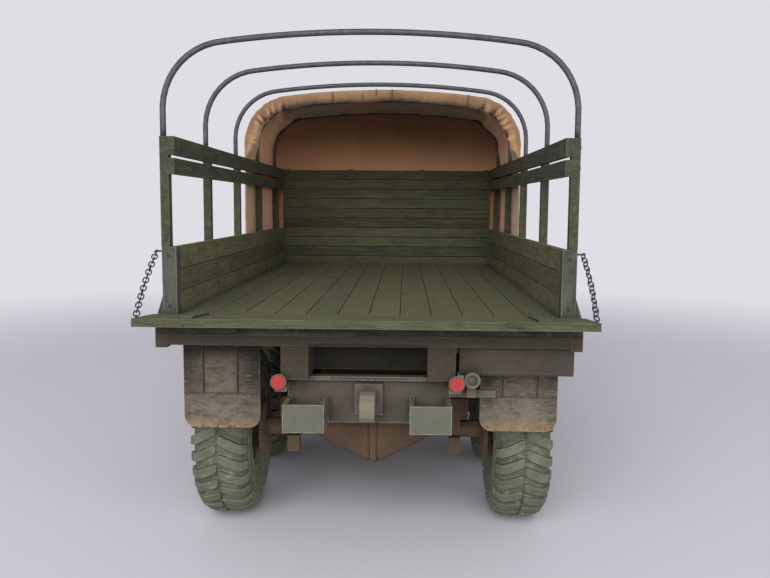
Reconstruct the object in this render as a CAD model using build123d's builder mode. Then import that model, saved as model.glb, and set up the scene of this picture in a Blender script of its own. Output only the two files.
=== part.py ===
"""Scale model (1:35) of a six-wheel-drive military cargo truck, tailgate down, tilt drawn forward.

Frame: +Y forward, +X to the truck's right, +Z up, origin under the middle of the whole model.
Every piece is one STEP in parts/, named as its node.
"""
import os
from math import asin, atan2, cos, degrees, pi, radians, sin, sqrt

from build123d import *

os.makedirs("parts", exist_ok=True)

# ------------------------------------------------------------------ driving dimensions, mm
# stations along the truck, from the tail forwards
TAIL_REACH = 11.0        # lowered tailgate, behind the bed's rear hoop
REAR_OVERHANG = 26.0     # rear hoop to rear axle
BOGIE_SPREAD = 32.6      # rear axle to middle axle
WHEELBASE = 104.7        # middle axle to front axle
FRONT_OVERHANG = 29.3    # front axle to the bumper's face
CAB_GAP = 12.4           # bed to cab, where the spare wheel stands
CAB_LENGTH = 29.5        # cab's back to the foot of the windscreen
COWL_SETBACK = 14.2      # foot of the windscreen behind the front axle
HOOD_LENGTH = 35.5       # foot of the windscreen to the radiator's face

# wheels
TYRE_R = 15.8            # to the tips of the lugs
TYRE_W = 10.0
BEAD_R = 6.8
TRACK = 52.4             # centre to centre of the tyres
HUB_BORE_R = 1.3
SPINDLE_GAP = 0.08
DRUM_R = 5.0

# ladder frame
FRAME_HALF = 12.8        # outer face of a rail
FRAME_TOP = 30.6
FRAME_DEPTH = 6.0
FRAME_FLANGE = 2.2
FRAME_T = 0.6

# bed, from the frame upwards
SILL_DEPTH = 5.7
SILL_IN = 9.2
SILL_OUT = 13.4
BEARER_DEPTH = 3.0
FLOOR_T = 1.2
LOW_SIDE_H = 10.4        # boards of the low side, above the floor
RACK_H = 26.9            # top of the upper slats, above the floor
SIDE_IN = 29.1           # inner face of the side boards
BOARD_T = 0.9
POST_T = 1.3
POST_W = 1.6
SIDE_RAIL_T = 1.8
GROOVE_W = 0.2
GROOVE_D = 0.25
FLOOR_BOARDS = 12
SIDE_BOARDS = 3
HOOPS = 5
LAST_HOOP = 5.2          # front hoop, behind the bed's front
HOOP_ROD_R = 0.45
HOOP_RISE = 42.2         # crown's centre line above the floor
HOOP_CORNER_R = 10.0
HOOP_CROWN_R = 170.0
TILT_GAP = 0.2           # canvas off the rods
TILT_T = 0.6
TILT_OVERHANG = 12.0     # rear hem, behind the hoop it is drawn to
TILT_HOOPS = 2           # hoops under the drawn-forward tilt
TILT_DROP = 6.0          # lower hem above the floor
TILT_FRONT_GAP = 0.4
TAILGATE_T = 1.2
TAILGATE_RISE = 4.2      # degrees above level, as the chains hold it
TAILGATE_LAP = 0.2       # beyond the bed's edge rails, each side
BULKHEAD_BOARDS = 10

# cab and front
CAB_HALF = 24.0
CAB_FLOOR_Z = 33.0
CAB_TOP = 66.6
CAB_WALL = 0.8
HOOD_TOP = 54.0
FENDER_OUT = 31.0
FENDER_IN = 17.0

# ------------------------------------------------------------------ stations and levels
OVERALL = TAIL_REACH + REAR_OVERHANG + BOGIE_SPREAD + WHEELBASE + FRONT_OVERHANG
TAIL_Y = -OVERALL / 2
BED_REAR = TAIL_Y + TAIL_REACH
REAR_AXLE_Y = BED_REAR + REAR_OVERHANG
MIDDLE_AXLE_Y = REAR_AXLE_Y + BOGIE_SPREAD
FRONT_AXLE_Y = MIDDLE_AXLE_Y + WHEELBASE
BUMPER_Y = FRONT_AXLE_Y + FRONT_OVERHANG
COWL_Y = FRONT_AXLE_Y - COWL_SETBACK
CAB_REAR = COWL_Y - CAB_LENGTH
BED_FRONT = CAB_REAR - CAB_GAP
HOOP_PITCH = (BED_FRONT - LAST_HOOP - BED_REAR) / (HOOPS - 1)
TILT_FRONT_Y = BED_FRONT + TILT_FRONT_GAP + TILT_T
RADIATOR_Y = COWL_Y + HOOD_LENGTH

AXLE_Z = TYRE_R
SILL_TOP = FRAME_TOP + SILL_DEPTH
BEARER_TOP = SILL_TOP + BEARER_DEPTH
FLOOR_TOP = BEARER_TOP + FLOOR_T
LOW_SIDE_TOP = FLOOR_TOP + LOW_SIDE_H
RACK_TOP = FLOOR_TOP + RACK_H
FRAME_BOTTOM = FRAME_TOP - FRAME_DEPTH
BOARD_OUT = SIDE_IN + BOARD_T
POST_OUT = BOARD_OUT + POST_T

MIN = (Align.MIN, Align.MIN, Align.MIN)


def write(piece, name):
    """Label a finished piece and write its STEP."""
    piece.label = name
    export_step(piece, f"parts/{name}.step")


def span(x, y, z, mode=Mode.ADD):
    """A plain bar between two corners, each range given as (low, high)."""
    with Locations((x[0], y[0], z[0])):
        Box(x[1] - x[0], y[1] - y[0], z[1] - z[0], align=MIN, mode=mode)


def both_sides(x, y, z, mode=Mode.ADD):
    """The same bar on the right and, mirrored, on the left."""
    span(x, y, z, mode)
    span((-x[1], -x[0]), y, z, mode)


def flats(sides, radius):
    """Corners of a regular polygon, one flat square to +x; radius is to the flats."""
    corner_r = radius / cos(pi / sides)
    turns = [(2 * index + 1) * pi / sides for index in range(sides)]
    return [(corner_r * cos(turn), corner_r * sin(turn)) for turn in turns]


def bar(place, sides, radius, length, mode=Mode.ADD):
    """A regular prism along a plane's normal; radius is to its flats."""
    with BuildSketch(place) as face:
        Polygon(*flats(sides, radius), align=None)
    extrude(face.sketch, amount=length, mode=mode)


def taper(place, sides, stations, mode=Mode.ADD):
    """Regular polygons joined flat to flat along a plane's normal: (distance, radius to flats)."""
    rings = []
    for along, radius in stations:
        section = place.offset(along)
        rings.append([section.from_local_coords((x, y, 0)) for x, y in flats(sides, radius)])
    faces = [Face(Wire.make_polygon(rings[0])), Face(Wire.make_polygon(rings[-1]))]
    for near, far in zip(rings, rings[1:]):
        for index in range(sides):
            after = (index + 1) % sides
            faces.append(Face(Wire.make_polygon((near[index], near[after], far[after], far[index]))))
    add(Solid(Shell(faces)), mode=mode)


def round_corner(centre, radius, start, turn, steps):
    """Points of a corner's arc, angles in degrees."""
    points = []
    for index in range(steps + 1):
        angle = radians(start + turn * index / steps)
        points.append((centre[0] + radius * cos(angle), centre[1] + radius * sin(angle)))
    return points


# ------------------------------------------------------------------ ladder frame
RAIL_REAR = BED_REAR + 4.0
RAIL_FRONT = BUMPER_Y - 2.6


def frame_rail(side, name):
    """Pressed channel, open towards the truck's middle."""
    with BuildPart() as rail:
        web_out = side * FRAME_HALF
        with BuildSketch(Plane.XZ.offset(-RAIL_REAR)):
            with Locations((web_out - side * FRAME_FLANGE / 2, FRAME_TOP - FRAME_DEPTH / 2)):
                Rectangle(FRAME_FLANGE, FRAME_DEPTH)
            inner_x = web_out - side * (FRAME_FLANGE + FRAME_T) / 2
            with Locations((inner_x, FRAME_TOP - FRAME_DEPTH / 2)):
                Rectangle(FRAME_FLANGE - FRAME_T, FRAME_DEPTH - 2 * FRAME_T, mode=Mode.SUBTRACT)
        extrude(amount=-(RAIL_FRONT - RAIL_REAR))
    write(rail.part, name)


frame_rail(-1, "left_frame_rail")
frame_rail(1, "right_frame_rail")

# crossmembers of the frame sit between the webs, under the rails' top flanges
CROSS_IN = FRAME_HALF - FRAME_FLANGE
CROSS_T = 0.8
CROSS_W = 3.0
CASE_REACH = 25.4        # transfer case, ahead of the middle axle
CASE_Y = MIDDLE_AXLE_Y + CASE_REACH
# columns: name, station
CROSSMEMBERS = (
    ("bogie", (REAR_AXLE_Y + MIDDLE_AXLE_Y) / 2),
    ("waist", CASE_Y),
    ("gearbox", CAB_REAR + 12.0),
)
with BuildPart() as crossmembers:
    for cross_name, cross_y in CROSSMEMBERS:
        span((-CROSS_IN, CROSS_IN), (cross_y - CROSS_W / 2, cross_y + CROSS_W / 2),
             (FRAME_TOP - 3.2, FRAME_TOP - 3.2 + CROSS_T))
        for edge in (-1, 1):
            flange_y = cross_y + edge * (CROSS_W - CROSS_T) / 2
            span((-CROSS_IN, CROSS_IN), (flange_y - CROSS_T / 2, flange_y + CROSS_T / 2),
                 (FRAME_BOTTOM + 0.8, FRAME_TOP - 3.2))
write(crossmembers.part, "frame_crossmembers")

# deep rear crossmember, which closes the frame and carries hook, buffers and lamps
REAR_CROSS_BOTTOM = 23.0
REAR_CROSS_T = 0.8
REAR_CROSS_FACE = RAIL_REAR - REAR_CROSS_T
# open-topped buffer boxes on its rear face
BUFFER_IN = 6.5
BUFFER_OUT = 12.8
BUFFER_REACH = 6.4
BUFFER_TOP = 27.3
BUFFER_WALL = 0.6
BUFFER_HOLE_R = 0.55
with BuildPart() as rear_crossmember:
    span((-FRAME_HALF, FRAME_HALF), (REAR_CROSS_FACE, RAIL_REAR), (REAR_CROSS_BOTTOM, FRAME_TOP))
    span((-FRAME_HALF, FRAME_HALF), (REAR_CROSS_FACE - 1.0, REAR_CROSS_FACE),
         (FRAME_TOP - FRAME_T, FRAME_TOP))
    span((-CROSS_IN, CROSS_IN), (RAIL_REAR, RAIL_REAR + 2.0),
         (REAR_CROSS_BOTTOM, REAR_CROSS_BOTTOM + FRAME_T))
    both_sides((BUFFER_IN, BUFFER_OUT), (REAR_CROSS_FACE - BUFFER_REACH, REAR_CROSS_FACE),
               (REAR_CROSS_BOTTOM, BUFFER_TOP))
    both_sides((BUFFER_IN + BUFFER_WALL, BUFFER_OUT - BUFFER_WALL),
               (REAR_CROSS_FACE - BUFFER_REACH + BUFFER_WALL, REAR_CROSS_FACE),
               (REAR_CROSS_BOTTOM + BUFFER_WALL, BUFFER_TOP), Mode.SUBTRACT)
    for side in (-1, 1):
        with Locations((side * (BUFFER_IN + BUFFER_OUT) / 2, REAR_CROSS_FACE - BUFFER_REACH / 2,
                        REAR_CROSS_BOTTOM)):
            Cylinder(BUFFER_HOLE_R, 4 * BUFFER_WALL, mode=Mode.SUBTRACT)
write(rear_crossmember.part, "rear_crossmember")

# towing hook with a bore across for the drawbar's ring
HOOK_W = 2.2
HOOK_BORE_R = 1.2
HOOK_EYE_R = 2.4
HOOK_Z = 26.6
HOOK_EYE_Y = REAR_CROSS_FACE - 4.2
with BuildPart() as towing_hook:
    with BuildSketch(Plane.YZ.offset(-HOOK_W / 2)):
        with Locations((HOOK_EYE_Y, HOOK_Z)):
            RegularPolygon(HOOK_EYE_R, 12)
        with Locations(((HOOK_EYE_Y + REAR_CROSS_FACE) / 2, HOOK_Z + 0.6)):
            Rectangle(REAR_CROSS_FACE - HOOK_EYE_Y, 2.4)
        with Locations((HOOK_EYE_Y, HOOK_Z)):
            Circle(HOOK_BORE_R, mode=Mode.SUBTRACT)
    extrude(amount=HOOK_W)
    span((-2.2, 2.2), (REAR_CROSS_FACE - 0.6, REAR_CROSS_FACE), (HOOK_Z - 2.2, HOOK_Z + 2.8))
write(towing_hook.part, "towing_hook")

# ------------------------------------------------------------------ axles and wheels
AXLE_TUBE_R = 1.5
DIFF_R = 6.0
DIFF_HALF = 10.0
DIFF_FLANGE_R = 6.4
WHEEL_IN = TRACK / 2 - TYRE_W / 2       # inner side of the tyres
BACKPLATE_X = WHEEL_IN - 0.9
SPINDLE_R = HUB_BORE_R - SPINDLE_GAP
SPINDLE_OUT = TRACK / 2 + 0.6
SPRING_X = 14.9                          # centre of the bogie springs and their seats
SPRING_W = 2.4
SEAT_H = 0.6                             # spring seats above the axle's tube
SEAT_HALF_L = 1.6
PINION_Z = AXLE_Z + 0.8
PINION_R = 2.0
PINION_REACH = DIFF_R + 3.0


DIFF_FLAT = 1.6          # half the width of the housing's crown
DIFF_FLANGE_HALF = 0.5


def axle(name, axle_y, tube_out, rigid=True):
    """Split housing of two cones; a rigid one carries spring seats, back plates and spindles."""
    across = Plane((0, axle_y, AXLE_Z), x_dir=(0, 1, 0), z_dir=(1, 0, 0))
    with BuildPart() as housing:
        bar(across.offset(-tube_out), 8, AXLE_TUBE_R, 2 * tube_out)
        taper(across, 12, ((-DIFF_HALF, AXLE_TUBE_R + 0.3), (-DIFF_FLAT, DIFF_R), (DIFF_FLAT, DIFF_R),
                           (DIFF_HALF, AXLE_TUBE_R + 0.3)))
        bar(across.offset(-DIFF_FLANGE_HALF), 12, DIFF_FLANGE_R, 2 * DIFF_FLANGE_HALF)
        if rigid:
            for side in (-1, 1):
                span((side * SPRING_X - SPRING_W / 2, side * SPRING_X + SPRING_W / 2),
                     (axle_y - SEAT_HALF_L, axle_y + SEAT_HALF_L), (AXLE_Z, AXLE_Z + AXLE_TUBE_R + SEAT_H))
                outward = Plane((side * tube_out, axle_y, AXLE_Z), x_dir=(0, 1, 0), z_dir=(side, 0, 0))
                drum_w = WHEEL_IN - tube_out - 0.3
                bar(outward, 16, DRUM_R, drum_w)
                with Locations(outward.offset(drum_w)):
                    Cylinder(SPINDLE_R, SPINDLE_OUT - tube_out - drum_w,
                             align=(Align.CENTER, Align.CENTER, Align.MIN))
        bar(Plane((0, axle_y, PINION_Z), z_dir=(0, 1, 0)), 8, PINION_R, PINION_REACH)
    write(housing.part, name)


axle("rear_axle", REAR_AXLE_Y, BACKPLATE_X)
axle("middle_axle", MIDDLE_AXLE_Y, BACKPLATE_X)

KNUCKLE_X = WHEEL_IN - 2.6
KNUCKLE_R = 2.9
axle("front_axle", FRONT_AXLE_Y, KNUCKLE_X - KNUCKLE_R, rigid=False)
KNUCKLE_DRUM_X = WHEEL_IN - 0.9
DRUM_IN = KNUCKLE_DRUM_X - KNUCKLE_X
DRUM_OUT = WHEEL_IN - 0.3 - KNUCKLE_X
# ball of the steering knuckle; columns: distance outwards, radius
BALL = ((-KNUCKLE_R, 0.45 * KNUCKLE_R), (-0.6 * KNUCKLE_R, 0.8 * KNUCKLE_R), (0, KNUCKLE_R),
        (DRUM_IN, 0.8 * KNUCKLE_R))
with BuildPart() as front_knuckles:
    for side in (-1, 1):
        outward = Plane((side * KNUCKLE_X, FRONT_AXLE_Y, AXLE_Z), x_dir=(0, 1, 0), z_dir=(side, 0, 0))
        taper(outward, 12, BALL)
        bar(outward.offset(DRUM_IN), 16, DRUM_R, DRUM_OUT - DRUM_IN)
        with Locations(outward.offset(DRUM_OUT)):
            Cylinder(SPINDLE_R, SPINDLE_OUT - KNUCKLE_X - DRUM_OUT,
                     align=(Align.CENTER, Align.CENTER, Align.MIN))
write(front_knuckles.part, "front_knuckles")

BEAD_HALF = 3.5
SIDEWALL_IN_R = 10.0     # where the sidewall starts to dish in to the bead
LUGS = 13                # in each of two staggered rows
LUG_DEPTH = 1.0
LUG_LAP = 0.5            # each row's reach past the tyre's middle, between the other row's lugs
CROWN_HALF = 2.8         # flat part of the tread, before the shoulders
SHOULDER_DROP = 0.3      # shoulders' outer edge below the floor between the lugs
LUG_STEP = 180 / LUGS    # degrees a lug takes, and the gap after it
SHOULDER_R = TYRE_R - LUG_DEPTH - SHOULDER_DROP
RIM_SIDES = 14
RIM_T = 0.6
DISC_X = 1.2             # wheel disc's outer face, outboard of the tyre's middle
DISC_T = 0.8
HUB_R = 2.2
HUB_IN = -2.0
HUB_OUT = DISC_X + 2.6
CENTRE_R = 3.4           # raised middle of the disc, round the hub
HAND_HOLES = 6
HAND_HOLE_R = 0.8
HAND_HOLE_PITCH_R = 4.8


def lug_outline(first):
    """Castle-shaped outline of one row of lugs, its first lug centred on a step of the ring."""
    corner = cos(radians(LUG_STEP / 2))
    points = []
    for index in range(LUGS):
        for edge, radii in ((-0.5, (TYRE_R - LUG_DEPTH, TYRE_R)), (0.5, (TYRE_R, TYRE_R - LUG_DEPTH))):
            angle = radians((2 * index + first + edge) * LUG_STEP)
            for radius in radii:
                points.append((radius / corner * cos(angle), radius / corner * sin(angle)))
    return points


def tyre(name, place):
    """Fat single tyre with two staggered rows of lugs; place's x axis is the wheel's axle."""
    across = Plane(place.origin, x_dir=place.z_dir, z_dir=place.x_dir)
    half = TYRE_W / 2
    with BuildPart() as rubber:
        for first, inner in ((0, -LUG_LAP), (1, -half)):
            with BuildSketch(across.offset(inner)):
                Polygon(*lug_outline(first), align=None)
            extrude(amount=half + LUG_LAP)
        taper(across, 2 * LUGS, ((-half, SHOULDER_R), (-CROWN_HALF, TYRE_R + SPINDLE_GAP),
                                 (CROWN_HALF, TYRE_R + SPINDLE_GAP), (half, SHOULDER_R)),
              Mode.INTERSECT)
        for side in (-1, 1):
            outward = Plane(across.origin, x_dir=across.x_dir, z_dir=across.z_dir * side)
            taper(outward, RIM_SIDES, ((BEAD_HALF, BEAD_R), (half, SIDEWALL_IN_R)), Mode.SUBTRACT)
        bar(across.offset(-half), RIM_SIDES, BEAD_R, TYRE_W, Mode.SUBTRACT)
    write(rubber.part, name)


def rim(name, place):
    """Rim, disc with hand holes and hub with its bore; place's x axis points outboard."""
    across = Plane(place.origin, x_dir=place.z_dir, z_dir=place.x_dir)
    with BuildPart() as steel:
        bar(across.offset(-BEAD_HALF), RIM_SIDES, BEAD_R, 2 * BEAD_HALF)
        bar(across.offset(-BEAD_HALF), RIM_SIDES, BEAD_R - RIM_T, BEAD_HALF + DISC_X - DISC_T, Mode.SUBTRACT)
        bar(across.offset(DISC_X), RIM_SIDES, BEAD_R - RIM_T, BEAD_HALF, Mode.SUBTRACT)
        with Locations(across.offset(DISC_X - DISC_T)):
            with PolarLocations(HAND_HOLE_PITCH_R, HAND_HOLES):
                Box(2 * HAND_HOLE_R, 2 * HAND_HOLE_R, 4 * DISC_T, mode=Mode.SUBTRACT)
        taper(across, 12, ((DISC_X, CENTRE_R), (DISC_X + 1.0, HUB_R + 0.4)))
        bar(across.offset(HUB_IN), 8, HUB_R, HUB_OUT - HUB_IN)
        with Locations(across.offset(HUB_IN)):
            Cylinder(HUB_BORE_R, DISC_X - 0.2 - HUB_IN, align=(Align.CENTER, Align.CENTER, Align.MIN),
                     mode=Mode.SUBTRACT)
    write(steel.part, name)


# columns: name, station, side (+1 is the truck's right)
WHEELS = (
    ("front_left", FRONT_AXLE_Y, -1),
    ("front_right", FRONT_AXLE_Y, 1),
    ("middle_left", MIDDLE_AXLE_Y, -1),
    ("middle_right", MIDDLE_AXLE_Y, 1),
    ("rear_left", REAR_AXLE_Y, -1),
    ("rear_right", REAR_AXLE_Y, 1),
)
for wheel_name, wheel_y, side in WHEELS:
    wheel_place = Plane((side * TRACK / 2, wheel_y, AXLE_Z), x_dir=(side, 0, 0), z_dir=(0, 0, 1))
    tyre(f"{wheel_name}_tyre", wheel_place)
    rim(f"{wheel_name}_wheel", wheel_place)

# spare wheel, upright across the frame behind the cab, in its cradle
SPARE_GAP = 0.1
CRADLE_T = 0.7
SPARE_Y = (TILT_FRONT_Y + CAB_REAR) / 2
SPARE_Z = FRAME_TOP + CRADLE_T + SPARE_GAP + TYRE_R
spare_place = Plane((0, SPARE_Y, SPARE_Z), x_dir=(0, -1, 0), z_dir=(0, 0, 1))
tyre("spare_tyre", spare_place)
rim("spare_wheel", spare_place)
CRADLE_HALF = 9.0
CRADLE_W = 6.0
CRADLE_RISE = 3.6
with BuildPart() as spare_cradle:
    span((-FRAME_HALF, FRAME_HALF), (SPARE_Y - CRADLE_W / 2, SPARE_Y + CRADLE_W / 2),
         (FRAME_TOP, FRAME_TOP + CRADLE_T))
    span((-CRADLE_HALF, CRADLE_HALF), (SPARE_Y - CRADLE_W / 2, SPARE_Y + CRADLE_W / 2),
         (FRAME_TOP + CRADLE_T, FRAME_TOP + CRADLE_RISE))
    bar(Plane((0, SPARE_Y - CRADLE_W, SPARE_Z), x_dir=(0, 0, 1), z_dir=(0, 1, 0)), 2 * LUGS,
        TYRE_R + SPARE_GAP, 2 * CRADLE_W, Mode.SUBTRACT)
write(spare_cradle.part, "spare_cradle")

# ------------------------------------------------------------------ springs, rods and shafts
LEAF_T = 0.5
BOGIE_Y = (REAR_AXLE_Y + MIDDLE_AXLE_Y) / 2
# columns: half length of the leaf, counted from the main leaf away
BOGIE_LEAVES = (BOGIE_SPREAD / 2, 13.8, 11.2, 8.6, 6.0)
FRONT_LEAVES = (17.5, 14.5, 11.5, 8.5, 5.5)
BOGIE_BOW_R = 62.0
FRONT_BOW_R = 80.0
SEAT_TOP = AXLE_Z + AXLE_TUBE_R + SEAT_H
BOGIE_DROP = BOGIE_BOW_R - sqrt(BOGIE_BOW_R ** 2 - (BOGIE_SPREAD / 2) ** 2)
BOGIE_SPRING_Z = SEAT_TOP + BOGIE_DROP
FRONT_SPRING_Z = AXLE_Z + AXLE_TUBE_R


def leaf_pack(mid_y, mid_z, leaves, bow_r, up):
    """Stepped outline of a pack bent about one centre; up is +1 where the ends rise."""
    def on_bow(turn, radius):
        return (mid_y + radius * sin(turn), mid_z + up * (bow_r - radius * cos(turn)))

    turns = [asin(half / bow_r) for half in leaves]
    rising = []
    for index, turn in enumerate(turns):
        rising.append(on_bow(-turn, bow_r + index * LEAF_T))
        rising.append(on_bow(-turn, bow_r + (index + 1) * LEAF_T))
    falling = []
    for index, turn in reversed(list(enumerate(turns))):
        falling.append(on_bow(turn, bow_r + (index + 1) * LEAF_T))
        falling.append(on_bow(turn, bow_r + index * LEAF_T))
    middle = [on_bow(0, bow_r + len(leaves) * LEAF_T)]
    back = [on_bow(turn, bow_r) for turn in turns[1:]]
    back.append(on_bow(0, bow_r))
    back += [on_bow(-turn, bow_r) for turn in reversed(turns[1:])]
    Polygon(*(rising + middle + falling + back), align=None)


FRONT_SPRING_X = FRAME_HALF - FRAME_FLANGE / 2
FRONT_SPRING_W = 2.2
with BuildPart() as leaf_springs:
    for side in (-1, 1):
        with BuildSketch(Plane.YZ.offset(side * SPRING_X - SPRING_W / 2)):
            leaf_pack(BOGIE_Y, BOGIE_SPRING_Z, BOGIE_LEAVES, BOGIE_BOW_R, -1)
        extrude(amount=SPRING_W)
    for side in (-1, 1):
        with BuildSketch(Plane.YZ.offset(side * FRONT_SPRING_X - FRONT_SPRING_W / 2)):
            leaf_pack(FRONT_AXLE_Y, FRONT_SPRING_Z + len(FRONT_LEAVES) * LEAF_T, FRONT_LEAVES,
                      FRONT_BOW_R, 1)
        extrude(amount=FRONT_SPRING_W)
        for end in (-1, 1):
            shackle_y = FRONT_AXLE_Y + end * (FRONT_LEAVES[0] - 0.6)
            span((side * FRONT_SPRING_X - 0.9, side * FRONT_SPRING_X + 0.9),
                 (shackle_y - 0.8, shackle_y + 0.8),
                 (FRONT_SPRING_Z + len(FRONT_LEAVES) * LEAF_T + 1.4, FRAME_BOTTOM))
write(leaf_springs.part, "leaf_springs")

ROD_R = 0.6
ROD_Z = AXLE_Z - 3.0
ROD_X = SPRING_X + 0.2
ROD_LAP = 0.4            # a rod's end inside its bracket
# bogie bracket: trunnion through both springs' middles, with hangers on the rails' webs
TRUNNION_R = 1.1
TRUNNION_Z = BOGIE_SPRING_Z - TRUNNION_R - 0.05
HANGER_FOOT_Z = TRUNNION_Z - TRUNNION_R - 1.9
HANGER_FOOT_HALF = 1.4
with BuildPart() as bogie_links:
    bar(Plane((-SPRING_X - SPRING_W / 2, BOGIE_Y, TRUNNION_Z), x_dir=(0, 1, 0), z_dir=(1, 0, 0)), 8,
        TRUNNION_R, 2 * SPRING_X + SPRING_W)
    for side in (-1, 1):
        with BuildSketch(Plane.YZ.offset(side * (FRAME_HALF - 0.4) - 0.4)):
            with BuildLine():
                Polyline((BOGIE_Y - 4.5, FRAME_BOTTOM), (BOGIE_Y + 4.5, FRAME_BOTTOM),
                         (BOGIE_Y + HANGER_FOOT_HALF, HANGER_FOOT_Z),
                         (BOGIE_Y - HANGER_FOOT_HALF, HANGER_FOOT_Z), close=True)
            make_face()
        extrude(amount=0.8)
    # foot of each hanger reaches out to the torque rods, which run to brackets under the axles
    both_sides((FRAME_HALF - 0.8, ROD_X + ROD_R + 0.2), (BOGIE_Y - HANGER_FOOT_HALF, BOGIE_Y + HANGER_FOOT_HALF),
               (HANGER_FOOT_Z, HANGER_FOOT_Z + 1.4))
    for side in (-1, 1):
        for axle_y, toward in ((REAR_AXLE_Y, 1), (MIDDLE_AXLE_Y, -1)):
            span(sorted((side * (SPRING_X - 0.9), side * (SPRING_X + 1.3))), (axle_y - 1.3, axle_y + 1.3),
                 (ROD_Z - 1.5, AXLE_Z - AXLE_TUBE_R))
            rod_start = Vector(side * ROD_X, axle_y + toward * (1.3 - ROD_LAP), ROD_Z)
            rod_end = Vector(side * ROD_X, BOGIE_Y - toward * (HANGER_FOOT_HALF - ROD_LAP), HANGER_FOOT_Z + 0.7)
            rod_way = rod_end - rod_start
            bar(Plane(rod_start, x_dir=(1, 0, 0), z_dir=rod_way), 6, ROD_R, rod_way.length)
write(bogie_links.part, "bogie_links")

# transfer case hung between the rails, and the open shafts to the three axles
CASE_HALF_L = 4.4
CASE_HALF_W = 5.0
CASE_Z = FRAME_BOTTOM - 3.6
CASE_TOP = FRAME_BOTTOM + 0.8
CASE_OUTPUT_Z = CASE_Z + 1.8
SHAFT_R = 0.8
YOKE_R = 1.3
YOKE_L = 1.4
YOKE_LAP = 0.3           # a tube's end inside its yoke


def shaft(start, end, radius):
    """A straight tube between two flanges, with a yoke square to the flange at either end."""
    rear_pin = Vector(*start) + Vector(0, YOKE_L - YOKE_LAP, 0)
    way = Vector(*end) - Vector(0, YOKE_L - YOKE_LAP, 0) - rear_pin
    bar(Plane(start, z_dir=(0, 1, 0)), 8, YOKE_R, YOKE_L)
    bar(Plane(rear_pin, x_dir=(1, 0, 0), z_dir=way), 8, radius, way.length)
    bar(Plane(end, z_dir=(0, -1, 0)), 8, YOKE_R, YOKE_L)


with BuildPart() as drive_line:
    span((-CASE_HALF_W, CASE_HALF_W), (CASE_Y - CASE_HALF_L, CASE_Y + CASE_HALF_L), (CASE_Z, CASE_TOP))
    chamfer(drive_line.edges().filter_by(Axis.Y), 1.4)
    shaft((0, MIDDLE_AXLE_Y + PINION_REACH, PINION_Z), (0, CASE_Y - CASE_HALF_L, CASE_OUTPUT_Z), SHAFT_R)
    shaft((0, REAR_AXLE_Y + PINION_REACH, PINION_Z), (0, MIDDLE_AXLE_Y - DIFF_FLANGE_R, PINION_Z), SHAFT_R)
    shaft((2.5, CASE_Y + CASE_HALF_L, CASE_OUTPUT_Z), (0, FRONT_AXLE_Y - DIFF_FLANGE_R, PINION_Z), SHAFT_R)
write(drive_line.part, "drive_line")

# ------------------------------------------------------------------ bed: sills, bearers, floor
BEARER_W = 2.2
SIDE_RAIL_IN = POST_OUT - 0.6
SIDE_RAIL_OUT = SIDE_RAIL_IN + SIDE_RAIL_T
FIRST_BEARER = (BED_REAR + 3.6, BED_REAR + 7.4)
LAST_BEARER = 4.8        # front bearer, behind the bed's front
BEARERS = 5
BEARER_PITCH = (BED_FRONT - LAST_BEARER - FIRST_BEARER[1]) / BEARERS
REAR_RAIL_SPLIT = 37.5
TAILGATE_HALF = SIDE_RAIL_OUT + TAILGATE_LAP
BOLSTER_L = 2.0
# bolsters between the sills; rear faces of them
BOLSTERS = (BED_REAR + 8.0, BED_FRONT - BOLSTER_L)
with BuildPart() as bed_frame:
    # two long sills over the frame's rails, bearers across them
    both_sides((SILL_IN, SILL_OUT), (BED_REAR - 0.3, BED_FRONT), (FRAME_TOP, SILL_TOP))
    span((-SIDE_RAIL_IN, SIDE_RAIL_IN), FIRST_BEARER, (SILL_TOP, BEARER_TOP))
    for index in range(BEARERS):
        bearer_y = FIRST_BEARER[1] + BEARER_PITCH * (index + 1) - BEARER_W
        span((-SIDE_RAIL_IN, SIDE_RAIL_IN), (bearer_y, bearer_y + BEARER_W), (SILL_TOP, BEARER_TOP))
    for bolster_y in BOLSTERS:
        span((-SILL_IN, SILL_IN), (bolster_y, bolster_y + BOLSTER_L), (FRAME_TOP, SILL_TOP))
    # edge rails, and the stepped pair of rails across the tail
    both_sides((SIDE_RAIL_IN, SIDE_RAIL_OUT), (BED_REAR - 1.0, BED_FRONT + 0.4),
               (SILL_TOP - 0.8, BEARER_TOP))
    span((-SIDE_RAIL_IN, SIDE_RAIL_IN), (BED_REAR - 1.4, BED_REAR + 0.8), (REAR_RAIL_SPLIT, BEARER_TOP))
    span((-SIDE_RAIL_IN, SIDE_RAIL_IN), (BED_REAR - 0.9, BED_REAR + 0.8),
         (SILL_TOP - 0.4, REAR_RAIL_SPLIT))
write(bed_frame.part, "bed_frame")

FLOOR_REAR = BED_REAR - 0.9
with BuildPart() as bed_floor:
    span((-POST_OUT, POST_OUT), (FLOOR_REAR, BED_FRONT), (BEARER_TOP, FLOOR_TOP))
    board_w = 2 * SIDE_IN / FLOOR_BOARDS
    for index in range(1, FLOOR_BOARDS):
        seam_x = -SIDE_IN + index * board_w
        span((seam_x - GROOVE_W / 2, seam_x + GROOVE_W / 2), (FLOOR_REAR + 2.6, BED_FRONT - 2.0),
             (FLOOR_TOP - GROOVE_D, FLOOR_TOP), Mode.SUBTRACT)
write(bed_floor.part, "bed_floor")

# ------------------------------------------------------------------ low sides, corner posts, racks
CORNER_L = 2.4
CORNER_REAR = BED_REAR - 0.7
CORNER_FRONT = CORNER_REAR + CORNER_L
BULKHEAD_T = 1.0
BULKHEAD_REAR = BED_FRONT - BULKHEAD_T - 1.0


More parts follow.
